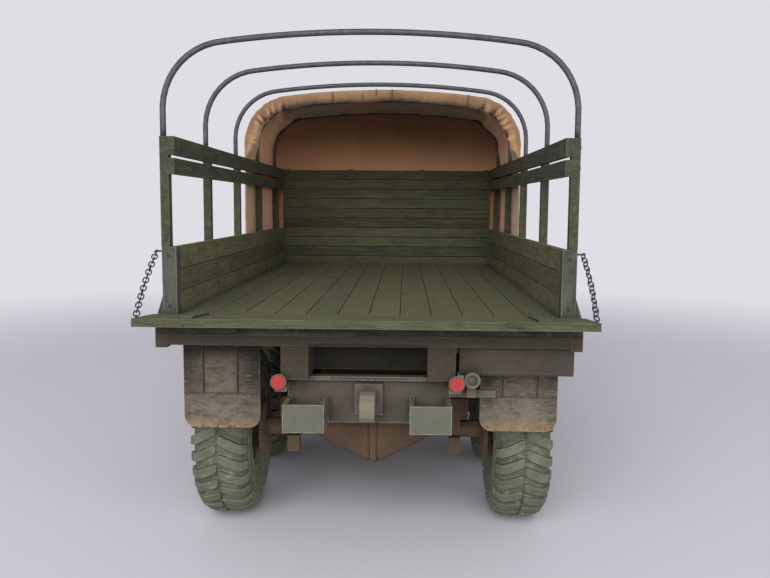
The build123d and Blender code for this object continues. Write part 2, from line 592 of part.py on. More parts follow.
with BuildPart() as low_sides:
    # three boards a side, as one panel with a groove at each seam
    both_sides((SIDE_IN, BOARD_OUT), (CORNER_FRONT, BULKHEAD_REAR), (FLOOR_TOP, LOW_SIDE_TOP))
    for index in range(1, SIDE_BOARDS):
        seam_z = FLOOR_TOP + index * LOW_SIDE_H / SIDE_BOARDS
        for face_x in (SIDE_IN, BOARD_OUT):
            both_sides((face_x - GROOVE_D, face_x + GROOVE_D), (CORNER_FRONT, BULKHEAD_REAR),
                       (seam_z - GROOVE_W / 2, seam_z + GROOVE_W / 2), Mode.SUBTRACT)
write(low_sides.part, "low_sides")

# steel corner posts at the tail, with the sloping gusset outside
GUSSET_H = 3.4
GUSSET_FOOT = 1.1
with BuildPart() as corner_posts:
    both_sides((SIDE_IN, POST_OUT), (CORNER_REAR, CORNER_FRONT), (FLOOR_TOP, LOW_SIDE_TOP))
    for side in (-1, 1):
        with BuildSketch(Plane.XZ.offset(-(CORNER_REAR + 0.6))):
            with BuildLine():
                Polyline((side * POST_OUT, FLOOR_TOP), (side * (POST_OUT + GUSSET_FOOT), FLOOR_TOP),
                         (side * POST_OUT, FLOOR_TOP + GUSSET_H), close=True)
            make_face()
        extrude(amount=-1.2)
write(corner_posts.part, "corner_posts")

# columns: bottom and top of a slat, below the rack's top
SLATS = ((2.7, 0.0), (5.6, 3.2))


with BuildPart() as side_racks:
    # posts at the hoops' stations and two slats along their inner faces
    for index in range(HOOPS):
        post_y = BED_REAR + index * HOOP_PITCH
        foot = LOW_SIDE_TOP if index == 0 else FLOOR_TOP
        both_sides((BOARD_OUT, POST_OUT), (post_y - POST_W / 2, post_y + POST_W / 2), (foot, RACK_TOP))
    for low, high in SLATS:
        both_sides((SIDE_IN, BOARD_OUT), (BED_REAR - POST_W / 2, BULKHEAD_REAR),
                   (RACK_TOP - low, RACK_TOP - high))
write(side_racks.part, "side_racks")

# front bulkhead: spaced boards on uprights
BULKHEAD_GAP = 0.24
UPRIGHT_W = 1.6
UPRIGHTS = (SIDE_IN - UPRIGHT_W / 2, 10.0)
with BuildPart() as bulkhead:
    board_pitch = RACK_H / BULKHEAD_BOARDS
    for index in range(BULKHEAD_BOARDS):
        low_z = FLOOR_TOP + index * board_pitch
        span((-SIDE_IN, SIDE_IN), (BULKHEAD_REAR, BULKHEAD_REAR + BULKHEAD_T),
             (low_z, low_z + board_pitch - BULKHEAD_GAP))
    for upright_x in UPRIGHTS:
        both_sides((upright_x - UPRIGHT_W / 2, upright_x + UPRIGHT_W / 2),
                   (BULKHEAD_REAR + BULKHEAD_T, BED_FRONT), (FLOOR_TOP, RACK_TOP))
write(bulkhead.part, "bulkhead")

# ------------------------------------------------------------------ hoops and canvas
HOOP_X = (BOARD_OUT + POST_OUT) / 2 + 0.25
HOOP_TOP = FLOOR_TOP + HOOP_RISE


CORNER_STEPS = 5
CROWN_STEPS = 4


def arch_points(grow, foot_z):
    """Outline of a hoop, grown outwards: straight legs, tight corners, flat crown."""
    crown_z = HOOP_TOP - HOOP_CROWN_R
    corner_x = HOOP_X - HOOP_CORNER_R
    reach = HOOP_CROWN_R - HOOP_CORNER_R
    corner_z = crown_z + sqrt(reach ** 2 - corner_x ** 2)
    lean = degrees(asin(corner_x / reach))
    corner = round_corner((corner_x, corner_z), HOOP_CORNER_R + grow, 0, 90 - lean, CORNER_STEPS)
    crown = round_corner((0, crown_z), HOOP_CROWN_R + grow, 90 - lean, 2 * lean, CROWN_STEPS)
    far_corner = [(-x, z) for x, z in reversed(corner)]
    feet = HOOP_X + grow
    return [(feet, foot_z)] + corner + crown[1:-1] + far_corner + [(-feet, foot_z)]


with BuildPart() as hoops:
    for index in range(HOOPS):
        hoop_y = BED_REAR + index * HOOP_PITCH
        with BuildSketch(Plane.XZ.offset(-hoop_y - HOOP_ROD_R)):
            Polygon(*(arch_points(HOOP_ROD_R, RACK_TOP) + arch_points(-HOOP_ROD_R, RACK_TOP)[::-1]),
                    align=None)
        extrude(amount=2 * HOOP_ROD_R)
write(hoops.part, "hoops")

TILT_IN = HOOP_ROD_R + TILT_GAP
TILT_REAR_Y = BED_REAR + (HOOPS - TILT_HOOPS) * HOOP_PITCH - TILT_OVERHANG
TILT_HEM_Z = FLOOR_TOP + TILT_DROP
TILT_FOOT_GAP = 0.5      # front wall's hem above the floor
with BuildPart() as canvas_tilt:
    with BuildSketch(Plane.XZ.offset(-TILT_REAR_Y)):
        Polygon(*arch_points(TILT_IN + TILT_T, TILT_HEM_Z), align=None)
    extrude(amount=-(TILT_FRONT_Y - TILT_REAR_Y))
    with BuildSketch(Plane.XZ.offset(-TILT_REAR_Y)):
        Polygon(*arch_points(TILT_IN, TILT_HEM_Z), align=None)
    extrude(amount=-(TILT_FRONT_Y - TILT_T - TILT_REAR_Y), mode=Mode.SUBTRACT)
    span((-POST_OUT, POST_OUT), (TILT_FRONT_Y - TILT_T, TILT_FRONT_Y), (FLOOR_TOP + TILT_FOOT_GAP, TILT_HEM_Z))
write(canvas_tilt.part, "canvas_tilt")

# ------------------------------------------------------------------ tailgate and its chains
HINGE_Y = FLOOR_REAR - 0.15
HINGE_Z = FLOOR_TOP - TAILGATE_T + 0.15
rise = radians(TAILGATE_RISE)
GATE_LENGTH = (HINGE_Y - TAIL_Y) / cos(rise)
gate_plane = Plane((0, HINGE_Y, HINGE_Z), x_dir=(1, 0, 0), z_dir=(0, sin(rise), cos(rise)))


def on_gate(x, back, up):
    """A point on the tailgate: distance back from the hinge and height over its lower face."""
    return gate_plane.from_local_coords((x, -back, up))


STRAP_X = 25.0
STRAP_W = 1.6
STRAP_T = 0.35
STRAP_END = 0.4
with BuildPart(gate_plane) as tailgate:
    span((-TAILGATE_HALF, TAILGATE_HALF), (-GATE_LENGTH, 0), (0, TAILGATE_T))
    for index in range(1, SIDE_BOARDS):
        seam_y = -index * GATE_LENGTH / SIDE_BOARDS
        for face_z in (0, TAILGATE_T):
            span((-TAILGATE_HALF, TAILGATE_HALF), (seam_y - GROOVE_W / 2, seam_y + GROOVE_W / 2),
                 (face_z - GROOVE_D, face_z + GROOVE_D), Mode.SUBTRACT)
    for side in (-1, 1):
        span((side * STRAP_X - STRAP_W / 2, side * STRAP_X + STRAP_W / 2),
             (STRAP_END - GATE_LENGTH, 0), (TAILGATE_T - GROOVE_D, TAILGATE_T + STRAP_T))
write(tailgate.part, "tailgate")

LINK_L = 1.36
LINK_W = 0.94
LINK_T = 0.22
LINK_PITCH = LINK_L - 2 * LINK_T + 0.08
CHAIN_EYE_X = POST_OUT + 0.9
CHAIN_EYE_Y = BED_REAR - 0.2
CHAIN_EYE_Z = LOW_SIDE_TOP - 0.7

with BuildPart() as tailgate_chains:
    # straight and taut; each link is turned a quarter from the last
    for side in (-1, 1):
        top = Vector(side * CHAIN_EYE_X, CHAIN_EYE_Y, CHAIN_EYE_Z)
        foot = Vector(*on_gate(side * (TAILGATE_HALF - 0.5), GATE_LENGTH - 0.7, TAILGATE_T + 0.35))
        way = (foot - top).normalized()
        normal = way.cross(Vector(1, 0, 0)).normalized()
        across = normal.cross(way).normalized()
        links = round((foot - top).length / LINK_PITCH)
        pitch = (foot - top).length / links
        for index in range(links):
            face = normal if index % 2 else across
            centre = top + way * (pitch * (index + 0.5))
            with BuildSketch(Plane(centre, x_dir=way, z_dir=face).offset(-LINK_T / 2)):
                Rectangle(LINK_L, LINK_W)
                Rectangle(LINK_L - 2 * LINK_T, LINK_W - 2 * LINK_T, mode=Mode.SUBTRACT)
            extrude(amount=LINK_T)
        span(sorted((side * POST_OUT, side * (POST_OUT + 1.0))),
             (BED_REAR - 0.35, BED_REAR - 0.05), (LOW_SIDE_TOP - 0.85, LOW_SIDE_TOP - 0.55))
write(tailgate_chains.part, "tailgate_chains")

# ------------------------------------------------------------------ under the bed at the tail
GUARD_IN = 17.9
GUARD_OUT = 30.4
GUARD_T = 0.6
GUARD_Y = BED_REAR + 6.6
GUARD_BOTTOM = 20.9
GUARD_FRONT_Y = MIDDLE_AXLE_Y + TYRE_R + 2.6
FRONT_GUARD_BOTTOM = 23.0
with BuildPart() as mudguards:
    both_sides((GUARD_IN, GUARD_OUT), (GUARD_Y, GUARD_Y + GUARD_T), (GUARD_BOTTOM, SILL_TOP))
    fillet(mudguards.edges().filter_by(Axis.Y).group_by(Axis.Z)[0], 2.0)
    both_sides((GUARD_IN, GUARD_OUT), (GUARD_FRONT_Y, GUARD_FRONT_Y + GUARD_T),
               (FRONT_GUARD_BOTTOM, SILL_TOP))
    both_sides((GUARD_IN, GUARD_OUT), (GUARD_FRONT_Y - 3.0, GUARD_FRONT_Y), (SILL_TOP - GUARD_T, SILL_TOP))
write(mudguards.part, "mudguards")

RAIL_BOTTOM = SILL_TOP - 0.8
TOOL_BOX = ((14.2, SIDE_RAIL_OUT - 0.5), (BED_REAR + 2.4, GUARD_Y), (30.9, RAIL_BOTTOM))
with BuildPart() as tool_box:
    span(*TOOL_BOX)
    chamfer(tool_box.edges().filter_by(Axis.X), 0.4)
write(tool_box.part, "tool_box")

LAMP_X = 13.6
LAMP_Z = 30.4
LAMP_R = 1.07
LAMP_FRONT = BED_REAR - 0.4
LAMP_BACK = BED_REAR - 1.7
LENS_T = 0.5
BRACKET_W = 1.4
BRACKET_T = 0.8
with BuildPart() as tail_lamps:
    # each lamp sits on an arm that runs back from the crossmember, under the sill's end
    for side in (-1, 1):
        span(sorted((side * (FRAME_HALF - 0.4), side * (FRAME_HALF + BRACKET_W))),
             (LAMP_FRONT - BRACKET_T, REAR_CROSS_FACE), (FRAME_TOP - 1.7, FRAME_TOP - 1.7 + BRACKET_T))
        taper(Plane((side * LAMP_X, LAMP_FRONT, LAMP_Z), x_dir=(1, 0, 0), z_dir=(0, -1, 0)), 16,
              ((0, LAMP_R - 0.4), (LAMP_FRONT - LAMP_BACK - LENS_T, LAMP_R)))
write(tail_lamps.part, "tail_lamps")
with BuildPart() as tail_lenses:
    for side in (-1, 1):
        bar(Plane((side * LAMP_X, LAMP_BACK + LENS_T, LAMP_Z), x_dir=(1, 0, 0), z_dir=(0, -1, 0)), 16,
            LAMP_R, LENS_T)
write(tail_lenses.part, "tail_lamp_lenses")

# trailer socket beside the right lamp, on a bar from the crossmember's end
SOCKET_X = 16.05
SOCKET_Z = 30.7
SOCKET_R = 1.2
SOCKET_BACK = BED_REAR - 0.2
SOCKET_FRONT = BED_REAR + 2.1
SOCKET_BAR = ((FRAME_HALF, 20.0), (REAR_CROSS_FACE, RAIL_REAR), (27.3, 28.4))
with BuildPart() as trailer_socket:
    span(*SOCKET_BAR)
    span((SOCKET_X - 0.7, SOCKET_X + 0.7), (SOCKET_FRONT - 0.3, RAIL_REAR), (27.6, SOCKET_Z + 0.1))
    bar(Plane((SOCKET_X, SOCKET_FRONT, SOCKET_Z), x_dir=(1, 0, 0), z_dir=(0, -1, 0)), 12, SOCKET_R,
        SOCKET_FRONT - SOCKET_BACK)
    bar(Plane((SOCKET_X, SOCKET_BACK + 0.5, SOCKET_Z), x_dir=(1, 0, 0), z_dir=(0, -1, 0)), 12,
        SOCKET_R - 0.35, 0.6, Mode.SUBTRACT)
write(trailer_socket.part, "trailer_socket")

# ------------------------------------------------------------------ cab
SCREEN_FOOT_Z = HOOD_TOP + 0.4
SCREEN_LEAN = 2.6
ROOF_R = 3.0
ROOF_STEPS = 3


def cab_form(inset, floor_z):
    """Solid form of the cab, each wall moved inwards by inset: its side profile within its front one."""
    corner_r = ROOF_R - inset
    half = CAB_HALF - inset
    top = CAB_TOP - inset
    with BuildPart() as form:
        with BuildSketch(Plane.YZ.offset(-half)) as outline:
            with BuildLine():
                Polyline((CAB_REAR + inset, floor_z), (COWL_Y - inset, floor_z),
                         (COWL_Y - inset, SCREEN_FOOT_Z), (COWL_Y - SCREEN_LEAN - inset, top),
                         (CAB_REAR + inset, top), close=True)
            make_face()
            fillet(outline.vertices().group_by(Axis.X)[0].sort_by(Axis.Y)[-1:], corner_r)
        extrude(amount=2 * half)
        right = round_corner((half - corner_r, top - corner_r), corner_r, 0, 90, ROOF_STEPS)
        left = [(-x, z) for x, z in reversed(right)]
        with BuildSketch(Plane.XZ.offset(-COWL_Y - 1)):
            Polygon(*([(half, floor_z)] + right + left + [(-half, floor_z)]), align=None)
        extrude(amount=CAB_LENGTH + 2, mode=Mode.INTERSECT)
    return form.part


def cab_layer(outer_inset, inner_inset):
    """The sheet between two insets of the cab's form, open at the floor."""
    with BuildPart() as layer:
        add(cab_form(outer_inset, CAB_FLOOR_Z))
        add(cab_form(inner_inset, CAB_FLOOR_Z - CAB_WALL), mode=Mode.SUBTRACT)
    return layer.part


def cab_floor_pan():
    """Flat floor that fills the cab's form between its walls."""
    with BuildPart() as pan:
        add(cab_form(CAB_WALL, CAB_FLOOR_Z))
        with BuildSketch(Plane.XY.offset(CAB_FLOOR_Z + CAB_WALL)):
            with Locations((0, (CAB_REAR + COWL_Y) / 2)):
                Rectangle(2 * CAB_HALF, CAB_LENGTH)
        extrude(amount=CAB_TOP, mode=Mode.SUBTRACT)
    return pan.part


hull = cab_layer(0, CAB_WALL)
DOOR_REAR = CAB_REAR + 3.0
DOOR_FRONT = COWL_Y - 3.0
DOOR_BOTTOM = CAB_FLOOR_Z + 0.8
DOOR_TOP = CAB_TOP - 2.6
SILL_Z = 52.5
DOOR_GAP = 0.2


def door_outline(shrink):
    """Face of a door, its edges moved inwards by shrink."""
    with BuildLine() as edge:
        Polyline((DOOR_REAR + shrink, DOOR_BOTTOM + shrink), (DOOR_FRONT - shrink, DOOR_BOTTOM + shrink),
                 (DOOR_FRONT - shrink, SILL_Z), (DOOR_FRONT - 1.6 - shrink, DOOR_TOP - shrink),
                 (DOOR_REAR + shrink, DOOR_TOP - shrink), close=True)
    make_face(edge.edges())


PANE_X = 10.6
PANE_W = 18.6
PANE_H = 8.4
REAR_PANE_W = 16.0
REAR_PANE_H = 6.0
PANE_Z = 60.0


def fixed_windows():
    """Prisms through the two windscreen panes and the rear window."""
    with BuildPart() as prisms:
        with BuildSketch(Plane.XZ.offset(-COWL_Y - 1)):
            with Locations((-PANE_X, PANE_Z), (PANE_X, PANE_Z)):
                RectangleRounded(PANE_W, PANE_H, 1.0)
        extrude(amount=8.0)
        with BuildSketch(Plane.XZ.offset(-CAB_REAR + 1)):
            with Locations((0, PANE_Z)):
                RectangleRounded(REAR_PANE_W, REAR_PANE_H, 1.2)
        extrude(amount=-3.0)
    return prisms.part


window_prisms = fixed_windows()
CAB_FEET = (3.5, CAB_LENGTH - 4.5)       # middles of the feet, ahead of the cab's back
FOOT_L = 3.0
with BuildPart() as cab_shell:
    add(hull)
    with BuildSketch(Plane.YZ.offset(-CAB_HALF - 1)):
        door_outline(0)
    extrude(amount=2 * CAB_HALF + 2, mode=Mode.SUBTRACT)
    add(window_prisms, mode=Mode.SUBTRACT)
    # floor pan within the walls, and its feet on the frame's rails
    add(cab_floor_pan())
    for foot_station in CAB_FEET:
        foot_y = CAB_REAR + foot_station
        both_sides((FRAME_HALF - FRAME_FLANGE, FRAME_HALF), (foot_y - FOOT_L / 2, foot_y + FOOT_L / 2),
                   (FRAME_TOP, CAB_FLOOR_Z))
write(cab_shell.part, "cab_shell")

GLASS_INSET = 0.25
GLASS_T = 0.3
glass_layer = cab_layer(GLASS_INSET, GLASS_INSET + GLASS_T)


def door_pane(side):
    """Outline of the pane in a door, on the plane just inside the door."""
    with BuildPart() as prism:
        with BuildSketch(Plane.YZ.offset(side * CAB_HALF - side * 2.0)):
            with BuildLine() as edge:
                Polyline((DOOR_REAR + 1.6, SILL_Z + 1.0), (DOOR_FRONT - 1.6, SILL_Z + 1.0),
                         (DOOR_FRONT - 2.9, DOOR_TOP - 1.4), (DOOR_REAR + 1.6, DOOR_TOP - 1.4), close=True)
            make_face()
        extrude(amount=side * 4.0)
    return prism.part


def cab_door(side, name):
    """A door cut from the same sheet as the cab, with its window."""
    with BuildPart() as door:
        add(hull)
        with BuildSketch(Plane.YZ.offset(side * CAB_HALF - side * 2.0)):
            door_outline(DOOR_GAP)
        extrude(amount=side * 4.0, mode=Mode.INTERSECT)
        add(door_pane(side), mode=Mode.SUBTRACT)
    write(door.part, name)


cab_door(-1, "left_door")
cab_door(1, "right_door")

with BuildPart() as pane_prisms:
    add(window_prisms)
    add(door_pane(-1))
    add(door_pane(1))
with BuildPart() as cab_glass:
    add(glass_layer)
    add(pane_prisms.part, mode=Mode.INTERSECT)
write(cab_glass.part, "cab_glass")

# seat, steering wheel
SEAT_H = 5.2
with BuildPart() as cab_seat:
    span((-20.5, 20.5), (CAB_REAR + 2.0, CAB_REAR + 14.5), (CAB_FLOOR_Z + 0.8, CAB_FLOOR_Z + 0.8 + SEAT_H))
    span((-20.5, 20.5), (CAB_REAR + 2.0, CAB_REAR + 5.0), (CAB_FLOOR_Z + 0.8 + SEAT_H, CAB_FLOOR_Z + 18.0))
write(cab_seat.part, "cab_seat")

STEER_R = 5.6
STEER_X = -11.0
STEER_RAKE = 40.0
STEER_Y = CAB_REAR + 19.0
STEER_Z = CAB_FLOOR_Z + 15.5
STEER_T = 0.5
COLUMN_R = 0.4
rake = radians(STEER_RAKE)
steer_plane = Plane((STEER_X, STEER_Y, STEER_Z), x_dir=(1, 0, 0), z_dir=(0, -sin(rake), cos(rake)))
COLUMN_L = (COWL_Y - CAB_WALL - STEER_Y) / sin(rake) - 1.5 * COLUMN_R
with BuildPart() as steering_wheel:
    with BuildSketch(steer_plane):
        RegularPolygon(STEER_R, 16)
        RegularPolygon(STEER_R - STEER_T, 16, mode=Mode.SUBTRACT)
        Rectangle(2 * STEER_R - STEER_T, STEER_T)
        Rectangle(STEER_T, 2 * STEER_R - STEER_T)
        RegularPolygon(2 * COLUMN_R, 8)
    extrude(amount=STEER_T)
    bar(steer_plane.offset(STEER_T / 2), 8, COLUMN_R, -COLUMN_L)
write(steering_wheel.part, "steering_wheel")

# ------------------------------------------------------------------ hood, radiator, fenders
HOOD_REAR_HALF = 15.5
HOOD_FRONT_HALF = 11.5
HOOD_SIDE_Z = 38.2
HOOD_T = 0.7
RADIATOR_T = 2.5
APRON_T = 0.6
HOOD_CORNER_STEPS = 4
# columns: station, half width, top, corner radius
HOOD_SECTIONS = (
    (COWL_Y, HOOD_REAR_HALF, HOOD_TOP, 4.0),
    (RADIATOR_Y - RADIATOR_T, HOOD_FRONT_HALF, HOOD_TOP - 3.0, 4.0),
)


def hood_section(half, top, corner, foot_z):
    """Outline across the hood: flat foot, upright sides, rounded top corners."""
    right = round_corner((half - corner, top - corner), corner, 0, 90, HOOD_CORNER_STEPS)
    left = [(-x, z) for x, z in reversed(right)]
    return [(half, foot_z)] + right + left + [(-half, foot_z)]


def hood_form(inset, foot_z):
    """Tapered form of the hood, its walls moved inwards by inset."""
    with BuildPart() as form:
        for station, half, top, corner in HOOD_SECTIONS:
            with BuildSketch(Plane.XZ.offset(-station)):
                Polygon(*hood_section(half - inset, top - inset, corner - inset, foot_z), align=None)
        loft(ruled=True)
    return form.part


with BuildPart() as hood:
    add(hood_form(0, HOOD_SIDE_Z))
    add(hood_form(HOOD_T, HOOD_SIDE_Z - HOOD_T), mode=Mode.SUBTRACT)
write(hood.part, "hood")

GRILLE_BARS = 11
with BuildPart() as radiator_grille:
    with BuildSketch(Plane.XZ.offset(-RADIATOR_Y)):
        Polygon(*hood_section(HOOD_FRONT_HALF, HOOD_TOP - 3.0, 4.0, FRAME_TOP), align=None)
    extrude(amount=RADIATOR_T)
    with Locations((0, RADIATOR_Y, (FRAME_TOP + HOOD_TOP) / 2 - 1.0)):
        with GridLocations(1.9, 1, GRILLE_BARS - 1, 1):
            Box(1.2, 3.0, 14.0, mode=Mode.SUBTRACT)
    # side aprons of the engine bay run back from it along the rails
    both_sides((FRAME_HALF - APRON_T, FRAME_HALF), (COWL_Y, RADIATOR_Y - RADIATOR_T), (FRAME_TOP, HOOD_SIDE_Z))
write(radiator_grille.part, "radiator_grille")

with BuildPart() as engine_block:
    span((-5.5, 5.5), (COWL_Y + 2.0, RADIATOR_Y - 6.0), (FRAME_BOTTOM + 1.0, 46.0))
    for mount_y in (COWL_Y + 4.0, RADIATOR_Y - 9.0):
        span((APRON_T - FRAME_HALF, FRAME_HALF - APRON_T), (mount_y - 1.0, mount_y + 1.0),
             (FRAME_TOP, FRAME_TOP + 1.2))
write(engine_block.part, "engine_block")

ARCH_Z = AXLE_Z + 2.0
ARCH_R = HOOD_SIDE_Z - 0.2 - ARCH_Z - 0.7
FENDER_T = 0.7
FENDER_LOW = 14.0        # degrees above level, where the wing's edges end


FENDER_STEPS = 14


def wing_band(outer_r, inner_r):
    """Band of the wing seen from the side, between two radii."""
    sweep_angle = 180 - 2 * FENDER_LOW
    outer = round_corner((FRONT_AXLE_Y, ARCH_Z), outer_r, FENDER_LOW, sweep_angle, FENDER_STEPS)
    inner = round_corner((FRONT_AXLE_Y, ARCH_Z), inner_r, FENDER_LOW, sweep_angle, FENDER_STEPS)
    return outer + inner[::-1]


def fender(side, name):
    """Round front wing over the wheel, running down to the running board."""
    with BuildPart() as wing:
        with BuildSketch(Plane.YZ.offset(side * FRAME_HALF)):
            Polygon(*wing_band(ARCH_R + FENDER_T, ARCH_R), align=None)
        extrude(amount=side * (FENDER_OUT - FRAME_HALF))
        with BuildSketch(Plane.YZ.offset(side * (FENDER_OUT - FENDER_T))):
            Polygon(*wing_band(ARCH_R, ARCH_R - 1.6), align=None)
        extrude(amount=side * FENDER_T)
    write(wing.part, name)


fender(-1, "left_fender")
fender(1, "right_fender")

# running boards on arms from the rails
BOARD_REAR = CAB_REAR + 1.0
BOARD_FRONT = FRONT_AXLE_Y - (ARCH_R + FENDER_T) * cos(radians(FENDER_LOW))
BOARD_Z = ARCH_Z + (ARCH_R + FENDER_T) * sin(radians(FENDER_LOW))
STEP_IN = 18.5
STEP_OUT = 30.6
STEP_T = 0.8
ARM_W = 1.6
with BuildPart() as running_boards:
    both_sides((STEP_IN, STEP_OUT), (BOARD_REAR, BOARD_FRONT), (BOARD_Z - STEP_T, BOARD_Z))
    for arm_y in (BOARD_REAR + 3.0, BOARD_FRONT - 5.0):
        both_sides((FRAME_HALF, STEP_OUT - 2.0), (arm_y, arm_y + ARM_W),
                   (BOARD_Z - STEP_T - 1.0, BOARD_Z - STEP_T))
        both_sides((FRAME_HALF, FRAME_HALF + 0.8), (arm_y, arm_y + ARM_W),
                   (BOARD_Z - STEP_T, FRAME_TOP - 1.0))
write(running_boards.part, "running_boards")

# headlamps on the wings
HEAD_R = 2.9
HEAD_X = 20.0
HEAD_Y = FRONT_AXLE_Y + 8.0
HEAD_Z = ARCH_Z + ARCH_R + FENDER_T + HEAD_R - 0.6
# columns: distance back from the rim, radius, in lamp radii
HEAD_SHELL = ((0.0, 1.0), (0.4, 1.0), (1.0, 0.75), (1.5, 0.2))
HEAD_SIDES = 12
HEAD_RIM = 1.6           # rim ahead of the lamp's station
with BuildPart() as headlamps:
    for side in (-1, 1):
        taper(Plane((side * HEAD_X, HEAD_Y + HEAD_RIM, HEAD_Z), x_dir=(1, 0, 0), z_dir=(0, -1, 0)), HEAD_SIDES,
              [(back * HEAD_R, radius * HEAD_R) for back, radius in HEAD_SHELL])
        span((side * HEAD_X - 0.6, side * HEAD_X + 0.6), (HEAD_Y - 1.0, HEAD_Y + 0.4),
             (ARCH_Z + ARCH_R - 2.0, HEAD_Z - 1.0))
    # stems stand on the wings
    for side in (-1, 1):
        with BuildSketch(Plane.YZ.offset(side * FRAME_HALF)):
            Polygon(*round_corner((FRONT_AXLE_Y, ARCH_Z), ARCH_R + FENDER_T, FENDER_LOW,
                                  180 - 2 * FENDER_LOW, FENDER_STEPS), align=None)
        extrude(amount=side * (FENDER_OUT - FRAME_HALF), mode=Mode.SUBTRACT)
write(headlamps.part, "headlamps")
with BuildPart() as headlamp_lenses:
    for side in (-1, 1):
        bar(Plane((side * HEAD_X, HEAD_Y + HEAD_RIM, HEAD_Z), x_dir=(1, 0, 0), z_dir=(0, 1, 0)), HEAD_SIDES,
            HEAD_R - 0.2, 0.3)
write(headlamp_lenses.part, "headlamp_lenses")

# ------------------------------------------------------------------ front bumper and hooks
BUMPER_T = 0.6
BUMPER_REACH = 2.0
BUMPER_HALF = 29.0
with BuildPart() as front_bumper:
    span((-BUMPER_HALF, BUMPER_HALF), (BUMPER_Y - BUMPER_T, BUMPER_Y), (FRAME_BOTTOM - 0.6, FRAME_TOP - 0.6))
    for low_z in (FRAME_BOTTOM - 0.6, FRAME_TOP - 0.6 - BUMPER_T):
        span((-BUMPER_HALF, BUMPER_HALF), (RAIL_FRONT, BUMPER_Y - BUMPER_T), (low_z, low_z + BUMPER_T))
write(front_bumper.part, "front_bumper")

FRONT_EYE_R = 1.9
FRONT_EYE_BORE_R = 0.95
FRONT_EYE_W = 1.6
FRONT_EYE_X = FRAME_HALF - FRAME_FLANGE / 2
FRONT_EYE_Y = BUMPER_Y - 1.7
FRONT_EYE_Z = FRAME_TOP + FRONT_EYE_R + 0.1
with BuildPart() as front_tow_eyes:
    for side in (-1, 1):
        with BuildSketch(Plane.YZ.offset(side * FRONT_EYE_X - FRONT_EYE_W / 2)):
            with Locations((FRONT_EYE_Y, FRONT_EYE_Z)):
                RegularPolygon(FRONT_EYE_R, 12)
            with Locations((FRONT_EYE_Y - 2.6, FRAME_TOP + 0.5)):
                Rectangle(5.2, 1.0)
            with Locations((FRONT_EYE_Y, FRONT_EYE_Z)):
                Circle(FRONT_EYE_BORE_R, mode=Mode.SUBTRACT)
        extrude(amount=FRONT_EYE_W)
write(front_tow_eyes.part, "front_tow_eyes")

# ------------------------------------------------------------------ tanks and front mudguards
TANK_IN = 15.2
TANK_OUT = 29.2
TANK_GAP = 3.4           # behind the tank, to the mudguard
TANK_FRONT = BED_FRONT - 6.2
TANK_REAR = GUARD_FRONT_Y + GUARD_T + TANK_GAP
TANK_CORNER_R = 3.6
TANK_LOW = 21.8
TANK_HIGH = 33.0


def tank_outline(mid_x):
    """Section of a tank with its four corners rounded."""
    half_w = (TANK_OUT - TANK_IN) / 2 - TANK_CORNER_R
    half_h = (TANK_HIGH - TANK_LOW) / 2 - TANK_CORNER_R
    mid_z = (TANK_LOW + TANK_HIGH) / 2
    points = []
    for quarter, (way_x, way_z) in enumerate(((1, 1), (-1, 1), (-1, -1), (1, -1))):
        centre = (mid_x + way_x * half_w, mid_z + way_z * half_h)
        points += round_corner(centre, TANK_CORNER_R, 90 * quarter, 90, 4)
    return points


with BuildPart() as fuel_tanks:
    for side in (-1, 1):
        with BuildSketch(Plane.XZ.offset(-TANK_REAR)):
            Polygon(*tank_outline(side * (TANK_IN + TANK_OUT) / 2), align=None)
        extrude(amount=-(TANK_FRONT - TANK_REAR))
    for bracket_y in (TANK_REAR + 3.0, TANK_FRONT - 5.0):
        both_sides((FRAME_HALF, TANK_IN), (bracket_y, bracket_y + 2.0), (FRAME_BOTTOM + 0.4, FRAME_TOP - 0.4))
write(fuel_tanks.part, "fuel_tanks")
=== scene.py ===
"""Looks of the cargo truck model: paint, wood, canvas, tyres, chains, small hardware, stage and camera.

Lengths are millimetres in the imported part's frame, and MM turns them to metres.
"""
import math
import random

import bmesh
import bpy
from mathutils import Matrix, Vector, noise


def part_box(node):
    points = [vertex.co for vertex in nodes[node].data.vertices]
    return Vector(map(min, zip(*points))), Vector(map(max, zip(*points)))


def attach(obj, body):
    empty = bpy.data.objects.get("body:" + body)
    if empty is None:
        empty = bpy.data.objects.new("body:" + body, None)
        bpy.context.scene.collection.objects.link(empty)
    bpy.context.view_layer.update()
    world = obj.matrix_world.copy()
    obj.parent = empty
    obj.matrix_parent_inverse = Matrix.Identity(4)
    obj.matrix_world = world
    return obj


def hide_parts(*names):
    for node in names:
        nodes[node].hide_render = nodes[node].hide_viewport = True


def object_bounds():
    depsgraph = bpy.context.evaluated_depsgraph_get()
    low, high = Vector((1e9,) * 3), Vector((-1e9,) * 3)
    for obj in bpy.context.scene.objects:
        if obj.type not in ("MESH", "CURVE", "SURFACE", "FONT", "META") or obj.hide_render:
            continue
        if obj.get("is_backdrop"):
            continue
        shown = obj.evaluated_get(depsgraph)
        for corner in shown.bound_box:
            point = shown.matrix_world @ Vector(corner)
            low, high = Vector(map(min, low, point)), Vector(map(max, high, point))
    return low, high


MM = 0.001
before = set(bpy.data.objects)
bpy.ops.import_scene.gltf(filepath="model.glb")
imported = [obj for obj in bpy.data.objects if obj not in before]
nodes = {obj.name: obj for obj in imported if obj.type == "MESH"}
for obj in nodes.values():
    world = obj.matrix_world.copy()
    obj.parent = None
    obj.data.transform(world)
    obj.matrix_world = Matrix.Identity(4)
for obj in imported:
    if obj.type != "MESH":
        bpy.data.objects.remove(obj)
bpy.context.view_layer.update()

# ------------------------------------------------------------------ places shared with the part
BED_REAR = -90.8
REAR_AXLE_Y, MIDDLE_AXLE_Y, FRONT_AXLE_Y = -64.8, -32.2, 72.5
BOGIE_Y = (REAR_AXLE_Y + MIDDLE_AXLE_Y) / 2
